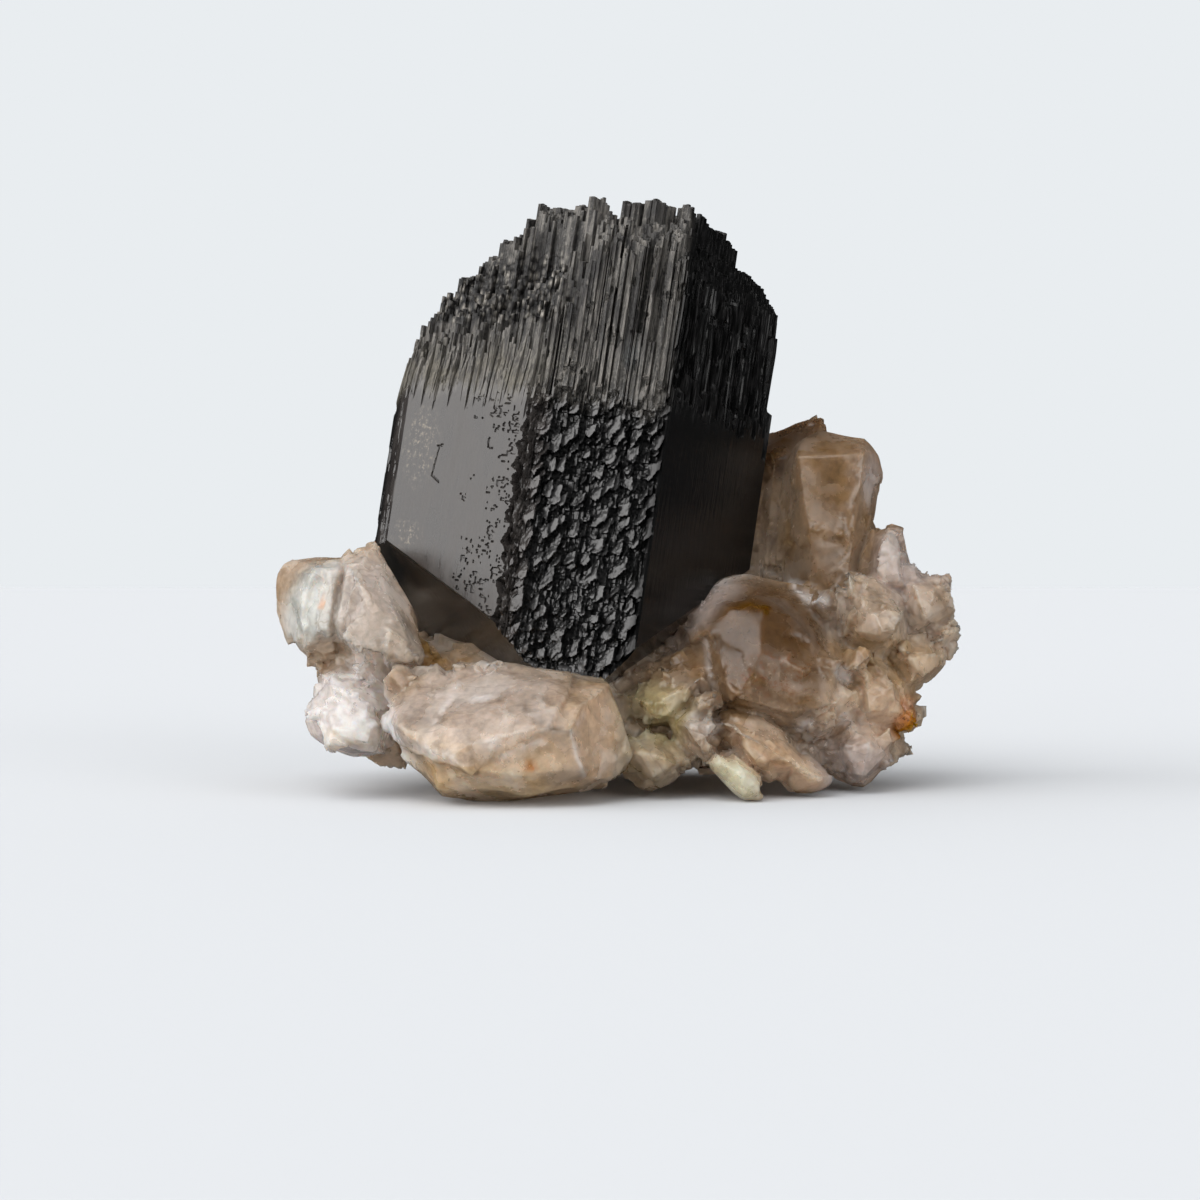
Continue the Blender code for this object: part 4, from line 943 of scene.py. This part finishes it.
look = Shading("smoky quartz")
own = look.nodes.new("ShaderNodeVertexColor")
own.layer_name = "tint"
local = look.stretch(look.nodes.new("ShaderNodeTexCoord").outputs["Object"], (1 / MM, 1 / MM, 1 / MM))
warp = look.nodes.new("ShaderNodeVectorMath")
warp.operation = "MULTIPLY_ADD"
jitter = look.nodes.new("ShaderNodeTexNoise")
jitter.inputs["Scale"].default_value = 0.35
look.links.new(local, jitter.inputs["Vector"])
look.links.new(jitter.outputs["Color"], warp.inputs[0])
warp.inputs[1].default_value = (2.4, 2.4, 2.4)
look.links.new(local, warp.inputs[2])
warped = warp.outputs[0]
veils = look.ramp(look.noise(warped, 0.15, 3.0, 0.5, 0.5), 0.44, 0.68)
clouds = look.ramp(look.noise(warped, 0.22, 4.0, 0.5, 0.4), 0.46, 0.72)
mottle = look.noise(local, 1.1, 5.0, 0.6)
# Inner flats, large and small, each a little lighter or darker than the next
flats_large = look.dot(look.cells(warped, 0.20).outputs["Color"], (1, 0, 0))
flats_small = look.dot(look.cells(warped, 0.60).outputs["Color"], (1, 0, 0))
colour = own.outputs["Color"]
light = look.nodes.new("ShaderNodeHueSaturation")
value = look.plus(look.ramp(mottle, 0.28, 0.72, 0.58, 0.88), look.times(flats_large, 0.22))
value = look.plus(value, look.times(flats_small, 0.14))
value = look.plus(value, look.times(veils, 0.24))
look.put(light.inputs["Value"], look.minus(value, look.times(clouds, 0.24)))
saturation = look.plus(1.08, look.times(clouds, 0.30))
look.put(light.inputs["Saturation"], look.minus(saturation, look.times(veils, 0.30)))
look.put(light.inputs["Color"], colour)
colour = light.outputs[0]
# Cracks inside the quartz, as thin dark lines where warped cells meet
edges = look.cells(warped, 0.13, "DISTANCE_TO_EDGE").outputs["Distance"]
cracked = look.ramp(look.noise(local, 0.17, 2.0), 0.50, 0.58)
cracks = look.times(look.ramp(edges, 0.018, 0.004), cracked)
colour = look.mix(look.times(cracks, 0.35), colour, (0.22, 0.15, 0.10))
# Rust in specks at the right end and inside the brown dome
rusty = look.times(look.near(local, (19.0, -15.0, 15.5), (8, 8, 4)), 0.8)
rusty = look.plus(look.near(local, (38.0, -6.0, 9.6), (4, 7, 4)), rusty)
grains = look.noise(local, 1.3, 5.0, 0.75)
colour = look.mix(look.times(rusty, look.ramp(grains, 0.50, 0.60), True), colour, (0.20, 0.075, 0.03))
colour = look.mix(look.times(rusty, look.ramp(grains, 0.40, 0.34), True), colour, (0.55, 0.40, 0.28))
look.set("Base Color", colour)
look.set("Roughness", look.ramp(look.plus(veils, mottle), 0.3, 1.5, 0.22, 0.38))
look.set("IOR", 1.544)
look.set("Specular IOR Level", 0.4)
look.set("Transmission Weight", 0.50)
look.set("Subsurface Weight", 0.6)
look.shader.inputs["Subsurface Radius"].default_value = (0.0045, 0.0034, 0.0026)
look.set("Subsurface Scale", 1.0)
look.set("Normal", look.bump(mottle, 0.12, 0.0003))
absorb = look.nodes.new("ShaderNodeVolumeAbsorption")
absorb.inputs["Color"].default_value = (0.84, 0.70, 0.55, 1)
absorb.inputs["Density"].default_value = 18.0
look.links.new(absorb.outputs[0], look.nodes["Material Output"].inputs["Volume"])
bed.data.materials.clear()
bed.data.materials.append(look.material)
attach(bed, "root")
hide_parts("smoky_quartz_cluster")


# ---------------------------------------------------------------- floor and light
# A plain pale floor under soft light from the left and from above the camera.


def seen_mirrored(nodes, links, path):
    """1 for rays that were only mirrored, 0 for those that came through the quartz."""
    node = nodes.new("ShaderNodeMath")
    node.operation = "SUBTRACT"
    node.use_clamp = True
    links.new(path.outputs["Is Glossy Ray"], node.inputs[0])
    links.new(path.outputs["Is Transmission Ray"], node.inputs[1])
    return node.outputs[0]


bm = bmesh.new()
bmesh.ops.create_circle(bm, cap_ends=True, segments=96, radius=25.0)
floor_mesh = bpy.data.meshes.new("floor")
bm.to_mesh(floor_mesh)
bm.free()
floor = bpy.data.objects.new("floor", floor_mesh)
floor.location.z = -0.0002
scene.collection.objects.link(floor)
pale = bpy.data.materials.new("pale floor")
pale.use_nodes = True
nodes, links = pale.node_tree.nodes, pale.node_tree.links
shader = nodes["Principled BSDF"]
shader.inputs["Roughness"].default_value = 1.0
shader.inputs["Specular IOR Level"].default_value = 0.0
path = nodes.new("ShaderNodeLightPath")
mix = nodes.new("ShaderNodeMix")
mix.data_type = "RGBA"
mix.inputs[6].default_value = (0.5877, 0.6078, 0.6326, 1)
mix.inputs[7].default_value = (0.02, 0.02, 0.02, 1)
links.new(seen_mirrored(nodes, links, path), mix.inputs[0])
links.new(mix.outputs[2], shader.inputs["Base Color"])
floor.data.materials.append(pale)


def sun(name, azimuth, elevation, strength, angle, colour):
    data = bpy.data.lights.new(name, "SUN")
    data.energy = strength
    data.angle = math.radians(angle)
    data.color = colour
    lamp = bpy.data.objects.new(name, data)
    lamp.rotation_euler = Euler((math.radians(90 - elevation), 0, math.radians(azimuth)), "XYZ")
    scene.collection.objects.link(lamp)


sun("left light", -72, 18, 2.25, 60, (1.0, 0.985, 0.975))
sun("front light", -25, 50, 1.2, 40, (1.0, 0.99, 0.98))
sun("narrow light", -28, 12, 0.25, 14, (1.0, 1.0, 1.0))
sun("right fill", 40, 10, 1.2, 40, (1.0, 0.99, 0.98))

world = bpy.data.worlds.new("studio")
scene.world = world
world.use_nodes = True
nodes, links = world.node_tree.nodes, world.node_tree.links
background = nodes["Background"]
background.inputs["Strength"].default_value = 1.0
path = nodes.new("ShaderNodeLightPath")
dim = nodes.new("ShaderNodeMix")
dim.data_type = "RGBA"
dim.inputs[6].default_value = (0.8148, 0.8469, 0.8714, 1)
way = nodes.new("ShaderNodeVectorMath")
way.operation = "DOT_PRODUCT"
way.inputs[1].default_value = (-0.75, -0.35, 0.55)
links.new(nodes.new("ShaderNodeTexCoord").outputs["Generated"], way.inputs[0])
fill = nodes.new("ShaderNodeMapRange")
fill.interpolation_type = "SMOOTHSTEP"
for name, number in (("From Min", -0.6), ("From Max", 0.9), ("To Min", 0.45), ("To Max", 0.96)):
    fill.inputs[name].default_value = number
links.new(way.outputs["Value"], fill.inputs["Value"])
links.new(fill.outputs[0], dim.inputs[7])
links.new(path.outputs["Is Diffuse Ray"], dim.inputs[0])
dark = nodes.new("ShaderNodeMix")
dark.data_type = "RGBA"
faint = nodes.new("ShaderNodeMath")
faint.operation = "MULTIPLY"
faint.inputs[1].default_value = 0.03
links.new(fill.outputs[0], faint.inputs[0])
links.new(faint.outputs[0], dark.inputs[7])
links.new(dim.outputs[2], dark.inputs[6])
# Refracted rays see the bright backdrop, mirrored ones a dark room
links.new(seen_mirrored(nodes, links, path), dark.inputs[0])
links.new(dark.outputs[2], background.inputs["Color"])
scene.view_settings.view_transform = "Standard"
